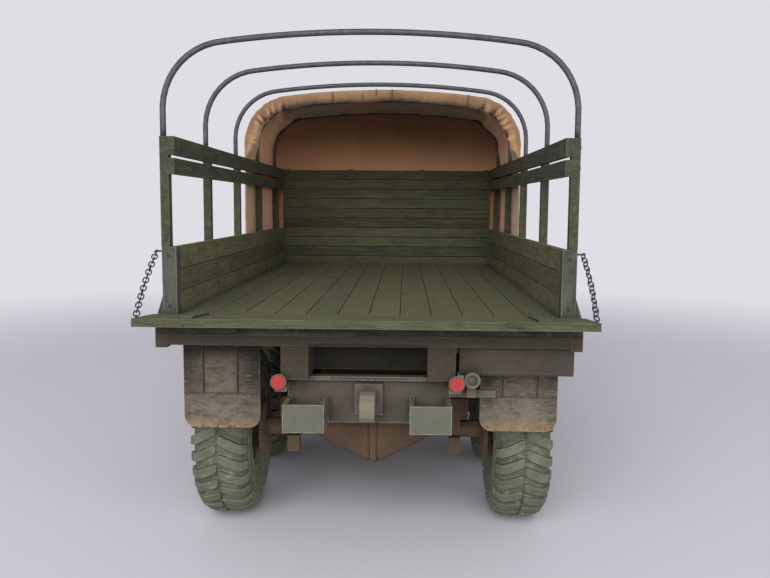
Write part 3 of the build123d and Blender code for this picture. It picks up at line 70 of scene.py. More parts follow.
AXLE_Z, TRACK = 15.8, 52.4
SPRING_X, SEAT_TOP, SPRING_TOP = 14.9, 18.4, 23.0
FLOOR_TOP, LOW_SIDE_TOP, RACK_TOP = 40.5, 50.9, 67.4
FLOOR_BOARD_PITCH, SIDE_BOARD_H = 4.85, (LOW_SIDE_TOP - FLOOR_TOP) / 3
SIDE_IN, POST_OUT, RAIL_OUT = 29.1, 31.3, 32.5
BULKHEAD_Y, BULKHEAD_PITCH = 14.4, 2.69
HOOPS, HOOP_X, HOOP_TOP, HOOP_PITCH, HOOP_ROD_R = 5, 30.9, 82.7, 25.5, 0.45
HOOP_CORNER_R, HOOP_CROWN_R = 10.0, 170.0
# the hoops bend above the first height and are nearly flat above the second
SHOULDER_Z, CROWN_Z = 66.0, 76.0
TILT_IN, TILT_REAR_Y, TILT_FRONT_Y, TILT_HEM_Z, CURTAIN_HEM_Z = 0.65, -26.3, 17.4, 46.5, 41.0
CAB_REAR, CAB_HALF, CAB_FLOOR_Z = 28.8, 24.0, 33.0
COWL_Y, RADIATOR_Y = 58.3, 93.8
HOOD_LENGTH, HOOD_REAR_HALF, HOOD_FRONT_HALF, HOOD_REAR_Z, HOOD_DROP = 33.0, 15.5, 11.5, 54.0, 3.0
HINGE_Y, HINGE_Z, GATE_LENGTH, GATE_RISE_DEG = -91.85, 39.45, 9.9, 4.2
GATE_T, GATE_HALF = 1.2, 32.7
SPARE_Y, SPARE_Z = 23.1, 47.2
GUARD_MID_X, GUARD_LINES, GUARD_FACE_Y, GUARD_FOLD_Z, GUARD_LOW_Z = 24.3, (21.5, 27.1), -84.2, 26.6, 20.9
TAIL_LAMP_X, TAIL_LAMP_Z, TAIL_LAMP_R = 13.6, 30.4, 1.12
HEADLAMP_X, HEADLAMP_Y, HEADLAMP_Z, HEADLAMP_R = 20.0, 82.1, 40.3, 2.75


# ------------------------------------------------------------------ materials
def rgb(r, g, b):
    """8-bit display colour as linear light."""
    def one(c):
        c /= 255
        return c / 12.92 if c <= 0.04045 else ((c + 0.055) / 1.055) ** 2.4
    return (one(r), one(g), one(b), 1.0)


def add_node(tree, kind, **inputs):
    """Shader node with some inputs set; an underscore in a keyword stands for a space."""
    node = tree.nodes.new("ShaderNode" + kind)
    for key, value in inputs.items():
        node.inputs[key.replace("_", " ")].default_value = value
    return node


class Paint:
    """A node material. Coordinates are millimetres in the part's frame."""

    def __init__(self, name, rough=0.8, metallic=0.0, **sockets):
        self.material = bpy.data.materials.new(name)
        self.material.use_nodes = True
        self.tree = self.material.node_tree
        self.tree.nodes.clear()
        self.shader = self.add("BsdfPrincipled", Roughness=rough, Metallic=metallic, **sockets)
        self.link(self.shader.outputs[0], self.add("OutputMaterial").inputs[0])
        self.place = self.scaled(self.add("TexCoord").outputs["Object"], 1 / MM)
        self.x, self.y, self.z = self.split(self.place)
        self.normal = self.add("NewGeometry").outputs["Normal"]
        self.nx, _, self.nz = self.split(self.normal)
        self.relief = None

    def add(self, kind, **inputs):
        return add_node(self.tree, kind, **inputs)

    def link(self, a, b):
        self.tree.links.new(a, b)

    def put(self, socket, value):
        """Sets a constant, or links what another node gives."""
        if isinstance(value, (int, float, tuple)):
            socket.default_value = value
        else:
            self.link(value, socket)

    def split(self, vector):
        node = self.add("SeparateXYZ")
        self.link(vector, node.inputs[0])
        return node.outputs

    def scaled(self, vector, scale):
        node = self.add("Mapping", Scale=scale if isinstance(scale, tuple) else (scale, scale, scale))
        self.link(vector, node.inputs["Vector"])
        return node.outputs[0]

    def math(self, kind, a, b=0.0):
        node = self.add("Math")
        node.operation = kind
        self.put(node.inputs[0], a)
        self.put(node.inputs[1], b)
        return node.outputs[0]

    def times(self, product, *factors):
        for factor in factors:
            product = self.math("MULTIPLY", product, factor)
        return product

    def waved(self, value, wave, height):
        """A value moved up by a noise of the given height."""
        return self.math("ADD", value, self.times(wave, height))

    def noise(self, scale, detail=3.0, rough=0.55, distortion=0.0):
        node = self.add("TexNoise", Scale=1.0, Detail=detail, Roughness=rough, Distortion=distortion)
        self.link(self.scaled(self.place, scale), node.inputs["Vector"])
        return node.outputs["Fac"]

    def range(self, value, low, high, to_low=0.0, to_high=1.0):
        node = self.add("MapRange")
        node.clamp = True
        self.put(node.inputs["Value"], value)
        for name, limit in (("From Min", low), ("From Max", high), ("To Min", to_low), ("To Max", to_high)):
            node.inputs[name].default_value = limit
        return node.outputs[0]

    def patches(self, scale, detail, low, high, least=0.0, most=1.0, rough=0.55):
        """least where a noise is under low, most where it is over high."""
        return self.range(self.noise(scale, detail, rough), low, high, least, most)

    def near(self, value, at, inner, outer):
        """1 within inner of a place, 0 beyond outer."""
        return self.range(self.math("ABSOLUTE", self.math("SUBTRACT", value, at)), inner, outer, 1.0, 0.0)

    def mix(self, share, a, b):
        """Colour a where share is 0, and b where it is 1."""
        node = self.add("Mix")
        node.data_type = "RGBA"
        self.put(node.inputs["Factor"], share)
        for socket, colour in zip((s for s in node.inputs if s.type == "RGBA"), (a, b)):
            self.put(socket, colour)
        return [s for s in node.outputs if s.type == "RGBA"][0]

    def edges(self, radius, low=0.02, high=0.25):
        """1 along sharp convex edges, from the difference of a rounded normal and the true one."""
        bevel = self.add("Bevel", Radius=radius * MM)
        bevel.samples = 6
        dot = self.add("VectorMath")
        dot.operation = "DOT_PRODUCT"
        self.link(bevel.outputs[0], dot.inputs[0])
        self.link(self.normal, dot.inputs[1])
        return self.range(self.math("SUBTRACT", 1.0, dot.outputs["Value"]), low, high)

    def creases(self, distance, low=0.35, high=0.9):
        """Mask of painted shade from ambient occlusion: 1 in corners and under what stands close by."""
        shade = self.add("AmbientOcclusion", Distance=distance * MM)
        shade.samples = 6
        return self.range(shade.outputs["AO"], low, high, 1.0, 0.0)

    def bump(self, height, depth):
        node = self.add("Bump", Strength=1.0, Distance=depth * MM)
        self.link(height, node.inputs["Height"])
        if self.relief is not None:
            self.link(self.relief, node.inputs["Normal"])
        self.relief = node.outputs[0]

    def done(self, colour, rough=None):
        self.link(colour, self.shader.inputs["Base Color"])
        if rough is not None:
            self.link(rough, self.shader.inputs["Roughness"])
        if self.relief is not None:
            self.link(self.relief, self.shader.inputs["Normal"])
        return self.material


def along(axis, fine, long_share):
    """Noise scale with its grain drawn out along one axis."""
    scale = [fine, fine, fine]
    scale["xyz".index(axis)] = fine * long_share
    return tuple(scale)


RUST, MUD = rgb(104, 66, 42), rgb(108, 92, 72)


def weathered(name, base, second, dust, wash_and_shade, wear, grain=None, board=None, mud=0.0, mud_top=30.0,
              rust=0.0, edge=0.25, rough=0.82, dusty=0.6, special=None, wear_share=0.75):
    """Hand-painted weathered finish: mottled, grained, painted shade in corners, pale on worn edges, dusty on
    top.
    """
    p = Paint(name, rough=rough)
    patchy = p.noise(0.7, 4, 0.65)
    colour = p.mix(p.patches(0.16, 4, 0.35, 0.65), base, second)
    if board:
        # each board of a row has its own tone
        axis, start, pitch = board
        each = p.add("TexWhiteNoise")
        each.noise_dimensions = "1D"
        offset = p.math("SUBTRACT", p.x if axis == "x" else p.z, start)
        p.link(p.math("FLOOR", p.math("DIVIDE", offset, pitch)), each.inputs["W"])
        colour = p.mix(p.range(each.outputs["Value"], 0, 1, 0, 0.32), colour, dust)
        colour = p.mix(p.range(each.outputs["Value"], 0.75, 0.2, 0, 0.35), colour, wash_and_shade)
    if grain:
        streaks = p.noise(along(grain, 5.0, 0.05), 6, 0.7, 0.4)
        colour = p.mix(p.range(streaks, 0.48, 0.66, 0, 0.75), colour, wash_and_shade)
        colour = p.mix(p.patches(along(grain, 1.2, 0.09), 4, 0.5, 0.68, 0, 0.45, 0.6), colour, dust)
        colour = p.mix(p.patches(0.45, 6, 0.52, 0.66, 0, 0.55, 0.75), colour, wash_and_shade)
        p.bump(streaks, 0.16)
    else:
        fine = p.noise(3.2, 4, 0.6)
        colour = p.mix(p.range(fine, 0.55, 0.75, 0, 0.25), colour, wash_and_shade)
        p.bump(fine, 0.035)
    if special:
        colour = special(p, colour)
    upward = p.range(p.nz, 0.55, 0.95)
    colour = p.mix(p.times(upward, p.range(patchy, 0.3, 0.65, 0.25, dusty)), colour, dust)
    if rust:
        colour = p.mix(p.times(p.patches(0.9, 6, 0.56, 0.66, rough=0.7), rust), colour, RUST)
    if mud:
        colour = p.mix(p.range(p.waved(p.z, patchy, 9.0), mud_top + 4.5, mud_top - 12, 0, mud), colour, MUD)
    # painted shade: the wash colour in corners and under what stands close by
    colour = p.mix(p.times(p.creases(1.4), 0.8), colour, wash_and_shade)
    colour = p.mix(p.times(p.edges(edge), p.range(patchy, 0.35, 0.6, 0.15, wear_share)), colour, wear)
    return p.done(colour, p.range(patchy, 0.3, 0.7, rough - 0.1, min(1.0, rough + 0.1)))


OLIVE, OLIVE_2 = rgb(70, 72, 48), rgb(60, 64, 46)
OLIVE_DUST, OLIVE_WASH_AND_SHADE, OLIVE_WEAR = rgb(112, 110, 80), rgb(26, 26, 18), rgb(128, 126, 96)
WOOD_DUST = rgb(98, 98, 66)


def floor_seams(p, colour):
    """A butt joint across the boards, nearer the tail, and a stain round where things stood."""
    colour = p.mix(p.patches(0.09, 3, 0.5, 0.62, 0, 0.35), colour, rgb(52, 54, 36))
    butt = p.near(p.y, BED_REAR + 30.0, 0.10, 0.22)
    return p.mix(p.times(butt, p.patches(0.6, 2, 0.4, 0.6, 0.3, 0.9)), colour, OLIVE_WASH_AND_SHADE)


def frame_wood(p, colour):
    """Brown bare-looking lower rail and sills under the painted upper ones, and painted shade between the
    sills.
    """
    brown = p.mix(p.noise(along("x", 1.4, 0.1), 4), rgb(56, 49, 38), rgb(74, 64, 50))
    colour = p.mix(p.times(p.range(p.z, 37.45, 37.55, 1, 0), 0.8), colour, brown)
    # painted shade in the gap between the sills, under the bed
    shade_between_sills = p.times(p.near(p.x, 0.0, 9.15, 9.3), p.range(p.z, 36.2, 36.4, 1, 0), 0.75)
    return p.mix(shade_between_sills, colour, rgb(28, 26, 20))


def buffers_paint(p, colour):
    """The two open boxes behind the cross member are paler than it is."""
    pale = p.mix(p.noise(0.9, 5), rgb(78, 81, 69), rgb(98, 100, 87))
    behind = p.range(p.y, BED_REAR + 2.9, BED_REAR + 3.0, 1, 0)
    return p.mix(p.times(behind, p.range(p.math("ABSOLUTE", p.x), 6.0, 6.2), 0.85), colour, pale)


def hook_paint(p, colour):
    """The plate behind the hook has the cross member's colour, the hook itself is paler."""
    pale = p.mix(p.noise(0.9, 5), rgb(104, 97, 83), rgb(128, 120, 104))
    return p.mix(p.times(p.range(p.y, BED_REAR + 2.4, BED_REAR + 2.7, 1, 0), 0.85), colour, pale)


def guard_paint(p, colour):
    """Flap: dusty pale middle, a painted shadow of the bed at the top, painted shade along two pressed lines
    down to a fold and along the fold, chipped rusty lower edge.
    """
    tall = p.noise((0.35, 0.8, 1.1), 5, 0.7)
    side = p.math("ABSOLUTE", p.x)
    cloudy = p.patches(0.35, 5, 0.35, 0.62, 0.35, 1.0, 0.6)
    colour = p.mix(p.times(p.near(side, GUARD_MID_X, 1.6, 5.2), cloudy, 0.62), colour, rgb(122, 110, 96))
    dusty = p.range(p.waved(p.z, tall, 6.0), 32.5, 27.0)
    colour = p.mix(p.times(dusty, 0.55), colour, rgb(122, 113, 97))
    colour = p.mix(p.patches((0.5, 0.8, 0.9), 6, 0.47, 0.62, 0, 0.6, 0.75), colour, rgb(44, 40, 33))
    colour = p.mix(p.patches((0.8, 0.8, 3.6), 5, 0.56, 0.66, 0, 0.5, 0.7), colour, rgb(140, 130, 112))
    edge = p.range(p.waved(p.z, tall, 4.0), GUARD_LOW_Z + 3.6, GUARD_LOW_Z + 1.9)
    colour = p.mix(p.times(edge, 0.7), colour, rgb(146, 120, 84))
    colour = p.mix(p.times(edge, p.patches(1.6, 5, 0.5, 0.58, rough=0.7)), colour, rgb(98, 60, 38))
    # painted shadow of the bed across the flap's top
    colour = p.mix(p.range(p.waved(p.z, tall, 1.6), 32.8, 34.6, 0, 0.9), colour, rgb(24, 22, 18))
    above_fold = p.range(p.z, GUARD_FOLD_Z - 0.1, GUARD_FOLD_Z + 0.1)
    # painted shade along the pressed lines, beside their ribs
    for line in GUARD_LINES:
        colour = p.mix(p.times(p.near(side, line, 0.10, 0.26), above_fold, 0.8), colour, rgb(38, 34, 30))
    # painted shade along the fold
    fold = p.near(p.waved(p.z, p.noise(0.5, 3), 0.8), GUARD_FOLD_Z + 0.4, 0.08, 0.32)
    return p.mix(p.times(fold, 0.55), colour, rgb(52, 46, 40))


def bed_wood(name, grain, board=None, special=None, base=OLIVE, second=OLIVE_2):
    return weathered(name, base, second, WOOD_DUST, OLIVE_WASH_AND_SHADE, OLIVE_WEAR, grain=grain, board=board,
                     edge=0.2, rough=0.86, dusty=0.75, special=special)


def canvas_paint(name, lit, dark, stain, special=None):
    """Tan cloth with a fine weave and stains, with painted shade in its creases."""
    p = Paint(name, rough=0.95, Sheen_Weight=0.2, Sheen_Roughness=0.6, Subsurface_Weight=0.45,
              Subsurface_Radius=(1.0, 0.75, 0.5), Subsurface_Scale=0.0006)
    colour = p.mix(p.patches(0.10, 5, 0.35, 0.65, rough=0.6), lit, dark)
    colour = p.mix(p.patches(0.5, 5, 0.55, 0.75, 0, 0.5, 0.65), colour, stain)
    threads = []
    for direction in "YX":
        wave = p.add("TexWave", Scale=1.0, Distortion=0.6)
        wave.wave_type, wave.bands_direction = "BANDS", direction
        p.link(p.scaled(p.place, 1.4), wave.inputs["Vector"])
        threads.append(wave.outputs["Fac"])
    weave = p.times(*threads)
    colour = p.mix(p.range(weave, 0.1, 0.9, 0.16, 0.0), colour, dark)
    # painted shade in the creases and under what stands close by
    colour = p.mix(p.times(p.creases(0.8, 0.25, 0.9), 0.5), colour, rgb(74, 55, 38))
    if special:
        colour = special(p, colour)
    p.bump(weave, 0.02)
    p.bump(p.noise(1.3, 4), 0.05)
    return p.done(colour)


def sides_glow(p, colour):
    """The hanging sides are paler on the face towards the bed, as thin cloth with light behind it is."""
    inward = p.range(p.times(p.x, p.nx), -1.5, -25.0)
    return p.mix(p.times(inward, 0.75), colour, rgb(222, 174, 128))


def curtain_painted_light(p, colour):
    """Painted light: paler towards its lower half, which the light through the open back reaches."""
    low = p.range(p.waved(p.z, p.noise(0.08, 3), 4.0), 78.5, 68.5)
    return p.mix(p.times(low, 0.75), colour, rgb(206, 160, 116))


def tyre_paint(name):
    """Dusty green-grey rubber: painted shade in the grooves, dry-brushed olive yellow on the lugs' edges."""
    p = Paint(name, rough=0.93)
    colour = p.mix(p.patches(0.35, 4, 0.35, 0.65), rgb(82, 86, 73), rgb(102, 104, 86))
    colour = p.mix(p.patches(1.8, 5, 0.5, 0.7, 0, 0.6, 0.65), colour, rgb(80, 86, 76))
    # painted shade in the grooves between the lugs
    colour = p.mix(p.times(p.creases(1.8, 0.4, 0.85), 0.8), colour, rgb(62, 66, 62))
    brushed = p.times(p.edges(0.32, 0.02, 0.2), p.patches(0.8, 4, 0.4, 0.6, 0.3, 1.0), 0.7)
    colour = p.mix(brushed, colour, rgb(156, 152, 108))
    colour = p.mix(p.patches(0.55, 4, 0.58, 0.68, 0, 0.45, 0.7), colour, rgb(148, 142, 100))
    p.bump(p.noise(3.0, 4), 0.04)
    return p.done(colour)


def plain_metal(name, colour_a, colour_b, wear, rough=0.6, metallic=0.2):
    p = Paint(name, rough=rough, metallic=metallic)
    colour = p.mix(p.patches(0.8, 5, 0.35, 0.65), colour_a, colour_b)
    colour = p.mix(p.times(p.edges(0.12), p.patches(1.5, 3, 0.4, 0.6, 0.2, 0.8)), colour, wear)
    p.bump(p.noise(4.0, 3), 0.02)
    return p.done(colour)


def lens_paint(name, colour_a, colour_b, rough, **sockets):
    p = Paint(name, rough=rough, **sockets)
    colour = p.mix(p.patches(1.2, 4, 0.4, 0.7), colour_a, colour_b)
    # painted shade in the lens's recesses
    colour = p.mix(p.times(p.creases(0.6), 0.6), colour, rgb(60, 24, 20))
    p.bump(p.noise(2.5, 2), 0.02)
    return p.done(colour)


def glass_paint(name):
    """Clear moulded pane, a little dusty."""
    p = Paint(name, rough=0.05, Transmission_Weight=0.92, IOR=1.45, Alpha=0.55)
    colour = p.mix(p.patches(0.4, 4, 0.4, 0.7, 0, 0.5), rgb(205, 212, 206), rgb(160, 160, 146))
    return p.done(colour, p.patches(0.5, 4, 0.4, 0.7, 0.03, 0.12))


PAINT = {
    "body": weathered("body_paint", OLIVE, rgb(78, 80, 54), OLIVE_DUST, OLIVE_WASH_AND_SHADE, rgb(126, 126, 98),
                      mud=0.75, mud_top=30.0, rust=0.25, edge=0.28, rough=0.74, dusty=0.45),
    "frame": weathered("frame_paint", rgb(66, 60, 50), rgb(82, 72, 60), rgb(112, 98, 80), rgb(22, 20, 16),
                       rgb(128, 116, 98), mud=0.7, mud_top=26.0, rust=0.5, edge=0.22, rough=0.85),
    "axle": weathered("axle_paint", rgb(84, 66, 50), rgb(96, 74, 54), rgb(124, 100, 76), rgb(28, 22, 16),
                      rgb(132, 110, 86), mud=0.8, mud_top=20.0, rust=0.8, edge=0.25, rough=0.9),
    "floor": bed_wood("floor_boards", "y", ("x", -SIDE_IN, FLOOR_BOARD_PITCH), floor_seams,
                      rgb(92, 93, 62), rgb(82, 85, 57)),
    "side": bed_wood("side_boards", "y", ("z", FLOOR_TOP, SIDE_BOARD_H), None,
                     rgb(114, 111, 76), rgb(98, 98, 70)),
    "rack": bed_wood("rack_wood", "y", None, None, rgb(58, 62, 46), rgb(66, 68, 50)),
    "cross": bed_wood("bulkhead_boards", "x", ("z", FLOOR_TOP, BULKHEAD_PITCH)),
    "gate": bed_wood("tailgate_boards", "x", None, None, rgb(78, 80, 54), rgb(66, 70, 48)),
    "bed_frame": bed_wood("bed_frame_wood", "x", None, frame_wood, rgb(40, 38, 27), rgb(46, 43, 31)),
    "corner": weathered("corner_steel", rgb(77, 79, 66), rgb(65, 68, 57), rgb(108, 108, 90), rgb(32, 32, 26),
                        rgb(142, 142, 122), grain="z", edge=0.25, rough=0.7, wear_share=0.9),
    "cross_member": weathered("cross_member", rgb(68, 63, 54), rgb(81, 75, 64), rgb(116, 106, 92),
                              rgb(28, 25, 21), rgb(168, 168, 150), rust=0.4, edge=0.28, rough=0.85,
                              special=buffers_paint, wear_share=0.95),
    "guard": weathered("mudguard_rubber", rgb(46, 43, 34), rgb(56, 51, 42), rgb(100, 92, 78), rgb(26, 24, 19),
                       rgb(150, 136, 108), edge=0.2, rough=0.92, special=guard_paint),
    "socket": weathered("socket_paint", rgb(84, 82, 64), rgb(100, 94, 76), rgb(116, 108, 90), rgb(32, 31, 24),
                        rgb(140, 134, 114), edge=0.2, rough=0.8, wear_share=0.9),
    "box": weathered("tool_box_paint", rgb(62, 56, 47), rgb(73, 66, 55), rgb(100, 91, 77), rgb(26, 24, 20),
                     rgb(130, 122, 104), rust=0.3, edge=0.25, rough=0.85),
    "lamp": weathered("lamp_body", rgb(92, 84, 70), rgb(104, 94, 78), rgb(130, 120, 100), rgb(34, 30, 24),
                      rgb(150, 140, 118), rust=0.4, edge=0.2, rough=0.8),
    "hook": weathered("hook_paint", rgb(67, 62, 53), rgb(79, 73, 63), rgb(116, 106, 92), rgb(28, 25, 21),
                      rgb(160, 152, 134), rust=0.3, edge=0.2, rough=0.85, special=hook_paint),
    "hoop": plain_metal("hoop_rod", rgb(62, 62, 66), rgb(80, 80, 84), rgb(132, 132, 134), 0.55, 0.3),
    "chain": plain_metal("chain_links", rgb(38, 38, 52), rgb(54, 54, 68), rgb(110, 112, 126), 0.55, 0.35),
    "wheel": weathered("wheel_paint", rgb(76, 76, 58), rgb(90, 84, 66), rgb(118, 108, 86), rgb(26, 24, 18),
                       rgb(134, 128, 104), mud=0.5, mud_top=60.0, rust=0.4, edge=0.25, rough=0.85),
    "tyre": tyre_paint("tyre_rubber"),
    "canvas": canvas_paint("tilt_canvas_cloth", rgb(152, 118, 85), rgb(128, 98, 69), rgb(106, 80, 56),
                           sides_glow),
    "curtain": canvas_paint("tilt_curtain_cloth", rgb(160, 124, 90), rgb(136, 103, 73), rgb(112, 84, 58),
                            curtain_painted_light),
    "strap": canvas_paint("tilt_strap_cloth", rgb(96, 76, 56), rgb(78, 60, 44), rgb(56, 44, 34)),
    "seat": canvas_paint("seat_leathercloth", rgb(84, 62, 44), rgb(70, 52, 38), rgb(52, 38, 28)),
    "red": lens_paint("red_lens", rgb(166, 42, 40), rgb(140, 34, 32), 0.6),
    "clear": lens_paint("clear_lens", rgb(214, 216, 210), rgb(196, 198, 190), 0.12, Transmission_Weight=0.6),
    "glass": glass_paint("cab_panes"),
    "dark": plain_metal("dark_fittings", rgb(44, 42, 38), rgb(60, 56, 50), rgb(118, 112, 98), 0.7, 0.2),
    "grip": plain_metal("steering_rim", rgb(26, 26, 26), rgb(38, 38, 36), rgb(80, 80, 78), 0.45, 0.0),
}
NODE_PAINT = {
    "bed_floor": "floor", "low_sides": "side", "side_racks": "rack", "bulkhead": "cross", "tailgate": "gate",
    "bed_frame": "bed_frame", "corner_posts": "corner", "rear_crossmember": "cross_member",
    "mudguards": "guard", "tool_box": "box", "tail_lamps": "lamp", "hoops": "hoop", "towing_hook": "hook",
    "tail_lamp_lenses": "red", "headlamp_lenses": "clear", "cab_glass": "glass", "steering_wheel": "grip",
    "leaf_springs": "axle", "bogie_links": "axle", "drive_line": "axle", "engine_block": "axle",
    "rear_axle": "axle", "middle_axle": "axle", "front_axle": "axle", "front_knuckles": "axle",
    "left_frame_rail": "frame", "right_frame_rail": "frame", "frame_crossmembers": "frame",
    "spare_cradle": "frame", "fuel_tanks": "body", "canvas_tilt": "canvas", "cab_seat": "seat",
    "tailgate_chains": "chain", "trailer_socket": "socket",
}
for name, node in nodes.items():
    key = NODE_PAINT.get(name)
    if key is None:
        key = "tyre" if "tyre" in name else "wheel" if name.endswith("_wheel") else "body"
    node.data.materials.clear()
    node.data.materials.append(PAINT[key])


# ------------------------------------------------------------------ mesh helpers
def placed(name, data):
    """Object that shows data, in the scene."""
    obj = bpy.data.objects.new(name, data)
    bpy.context.scene.collection.objects.link(obj)
    return obj


def meshed(name, bm):
    """Object made from a bmesh, which is freed."""
    mesh = bpy.data.meshes.new(name)
    bm.to_mesh(mesh)
    bm.free()
    return placed(name, mesh)


def piece(name, bm, paint, body="truck", stands_for=(), smooth=False):
    """Turns a bmesh in millimetres into a riding object."""
    bmesh.ops.recalc_face_normals(bm, faces=bm.faces)
    bmesh.ops.scale(bm, vec=(MM, MM, MM), verts=bm.verts)
    obj = meshed(name, bm)
    for face in obj.data.polygons:
        face.use_smooth = smooth
    obj.data.materials.append(PAINT[paint])
    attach(obj, body)
    if stands_for:
        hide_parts(*stands_for)
    return obj


def round_edges(obj, width, angle):
    """Small moulded radius on an object's sharp edges."""
    bevel = obj.modifiers.new("soft_edges", "BEVEL")
    bevel.width = width * MM
    bevel.segments = 2
    bevel.limit_method = "ANGLE"
    bevel.angle_limit = math.radians(angle)
    bevel.use_clamp_overlap = True
    bevel.harden_normals = False


def subdivided(obj):
    smoother = obj.modifiers.new("smooth", "SUBSURF")
    smoother.levels = smoother.render_levels = 1


def slab(bm, low, high, bevel=0.0):
    """Bar between two corners with its edges eased."""
    made = bmesh.ops.create_cube(bm, size=1.0)["verts"]
    bmesh.ops.scale(bm, vec=[h - l for l, h in zip(low, high)], verts=made)
    bmesh.ops.translate(bm, vec=[(h + l) / 2 for l, h in zip(low, high)], verts=made)
    if bevel:
        edges = list({e for v in made for e in v.link_edges})
        bmesh.ops.bevel(bm, geom=edges, offset=bevel, segments=2, affect="EDGES", profile=0.6)


def skin(bm, rings, closed=False, caps=False):
    """Faces between neighbouring rings of as many points each; closed joins the last to the first."""
    pairs = list(zip(rings, rings[1:]))
    if closed:
        pairs.append((rings[-1], rings[0]))
    for lower, upper in pairs:
        for k in range(len(lower)):
            n = (k + 1) % len(lower)
            bm.faces.new((lower[k], lower[n], upper[n], upper[k]))
    if caps:
        bm.faces.new(list(reversed(rings[0])))
        bm.faces.new(rings[-1])


def circle(centre, radius, steps, level):
    """Points on a circle in the upright plane that holds the level direction."""
    turns = [2 * math.pi * k / steps for k in range(steps)]
    up = Vector((0, 0, 1))
    return [Vector(centre) + (Vector(level) * math.cos(a) + up * math.sin(a)) * radius for a in turns]


def lathe(bm, profile, centre, axis, steps=24, hollow=False):
    """Revolves (radius, height) pairs about an axis through centre; hollow closes the profile on itself."""
    axis = Vector(axis).normalized()
    side = axis.orthogonal().normalized()
    other = axis.cross(side)
    rings = []
    for radius, height in profile:
        ring = []
        for k in range(steps):
            a = 2 * math.pi * k / steps
            ring.append(bm.verts.new(Vector(centre) + axis * height
                                     + (side * math.cos(a) + other * math.sin(a)) * radius))
        rings.append(ring)
    skin(bm, rings, closed=hollow, caps=not hollow)


def bolt(bm, at, axis, radius, height, washer=True):
    """Hexagon head, on a thin washer."""
    if washer:
        lathe(bm, ((radius * 1.35, -0.05), (radius * 1.35, 0.05), (radius * 1.2, 0.08)), at, axis, 12)
    lathe(bm, ((radius, 0.0), (radius, height * 0.75), (radius * 0.8, height)), at, axis, 6)


def rivet(bm, at, axis, radius, height):
    """Low domed head."""
    lathe(bm, ((radius, -0.04), (radius, height * 0.35), (radius * 0.72, height * 0.8),
               (radius * 0.3, height)), at, axis, 10)


def tube(bm, points, radius, steps=8, closed=False):
    """Round bar along a list of points."""
    points = [Vector(p) for p in points]
    count = len(points)
    rings = []
    up = None
    for k, point in enumerate(points):
        ahead = points[(k + 1) % count] if closed or k + 1 < count else point
        behind = points[k - 1] if closed or k else point
        way = (ahead - behind).normalized()
        side = way.orthogonal().normalized() if up is None else (up - way * up.dot(way)).normalized()
        up = side
        other = way.cross(side)
        rings.append([bm.verts.new(point + (side * math.cos(2 * math.pi * s / steps)
                                            + other * math.sin(2 * math.pi * s / steps)) * radius)
                      for s in range(steps)])
    skin(bm, rings, closed=closed, caps=not closed)


# ------------------------------------------------------------------ tyres
LUGS = 30
CARCASS = (  # columns: across from the middle, radius
    (-3.5, 6.8), (-4.2, 7.3), (-4.7, 9.0), (-4.75, 11.0), (-4.4, 12.7), (-3.7, 13.95), (-2.6, 14.75),
    (-1.2, 15.0), (0.0, 15.05), (1.2, 15.0), (2.6, 14.75), (3.7, 13.95), (4.4, 12.7), (4.75, 11.0),
    (4.7, 9.0), (4.2, 7.3), (3.5, 6.8),
)
# columns: across, foot across, radius of top and foot, turn about the axle and half width in pitches
LUG_PATH = (
    (0.15, 0.15, 15.70, 14.85, 0.00, 0.16), (0.60, 0.60, 15.76, 14.85, 0.06, 0.25),
    (2.00, 2.00, 15.70, 14.75, 0.27, 0.26), (3.20, 3.20, 15.40, 14.20, 0.46, 0.26),
    (4.10, 3.15, 14.85, 13.30, 0.58, 0.26), (4.80, 3.85, 13.80, 12.50, 0.66, 0.25),
    (4.98, 4.03, 12.50, 11.80, 0.70, 0.18),
)
SIDEWALL_RIBS = ((11.3, 4.72), (8.4, 4.56))     # columns: radius, across
FOOT_FLARE = 0.05                               # how much wider a lug's foot is on each side, in pitches


def tyre_mesh():
    """Tyre about X at the origin, with chevron lugs of two staggered rows that run down the shoulders."""
    bm = bmesh.new()
    rings = [[bm.verts.new(at) for at in circle((across, 0, 0), radius, 120, (0, 1, 0))]
             for across, radius in CARCASS]
    skin(bm, rings, closed=True)
    pitch = 2 * math.pi / LUGS
    rng = random.Random(5)
    for row in (-1, 1):
        for index in range(LUGS):
            base = (index + (0.0 if row > 0 else 0.5)) * pitch
            shift, swell = rng.uniform(-0.04, 0.04), rng.uniform(-0.12, 0.02)
            sections = []
            for across, foot_across, radius, foot_radius, turn, half in LUG_PATH:
                corners = []
                top, foot = (across, radius + swell, half), (foot_across, foot_radius, half + FOOT_FLARE)
                for edge, (at, r, wide) in ((-1, top), (1, top), (1, foot), (-1, foot)):
                    a = base + (turn + shift + edge * wide) * pitch
                    corners.append(bm.verts.new((row * at, r * math.cos(a), r * math.sin(a))))
                sections.append(corners)
            # the first corner of each face sets along which diagonal it folds
            for a, b in zip(sections, sections[1:]):
                for face in ((a[0], a[1], b[1], b[0]), (a[0], b[0], b[3], a[3]),
                             (a[1], a[2], b[2], b[1]), (a[3], b[3], b[2], a[2])):
                    bm.faces.new(face)
            inner_end, outer_end = sections[0], sections[-1]
            bm.faces.new((inner_end[0], inner_end[3], inner_end[2], inner_end[1]))
            bm.faces.new(outer_end)
    for row in (-1, 1):
        for radius, rise in SIDEWALL_RIBS:
            tube(bm, circle((row * rise, 0, 0), radius, 96, (0, 1, 0)), 0.16, 6, closed=True)
    return bm


def tyre(name, body, stands_for, turn_axis, turn, place):
    """One tyre, turned about an axis and set in its place, with nothing below the ground."""
    bm = tyre_mesh()
    bmesh.ops.rotate(bm, cent=(0, 0, 0), matrix=Matrix.Rotation(turn, 3, turn_axis), verts=bm.verts)
    bmesh.ops.translate(bm, vec=place, verts=bm.verts)
    for vert in bm.verts:
        vert.co.z = max(vert.co.z, 0.0)
    round_edges(piece(name, bm, "tyre", body, (stands_for,)), 0.12, 30)


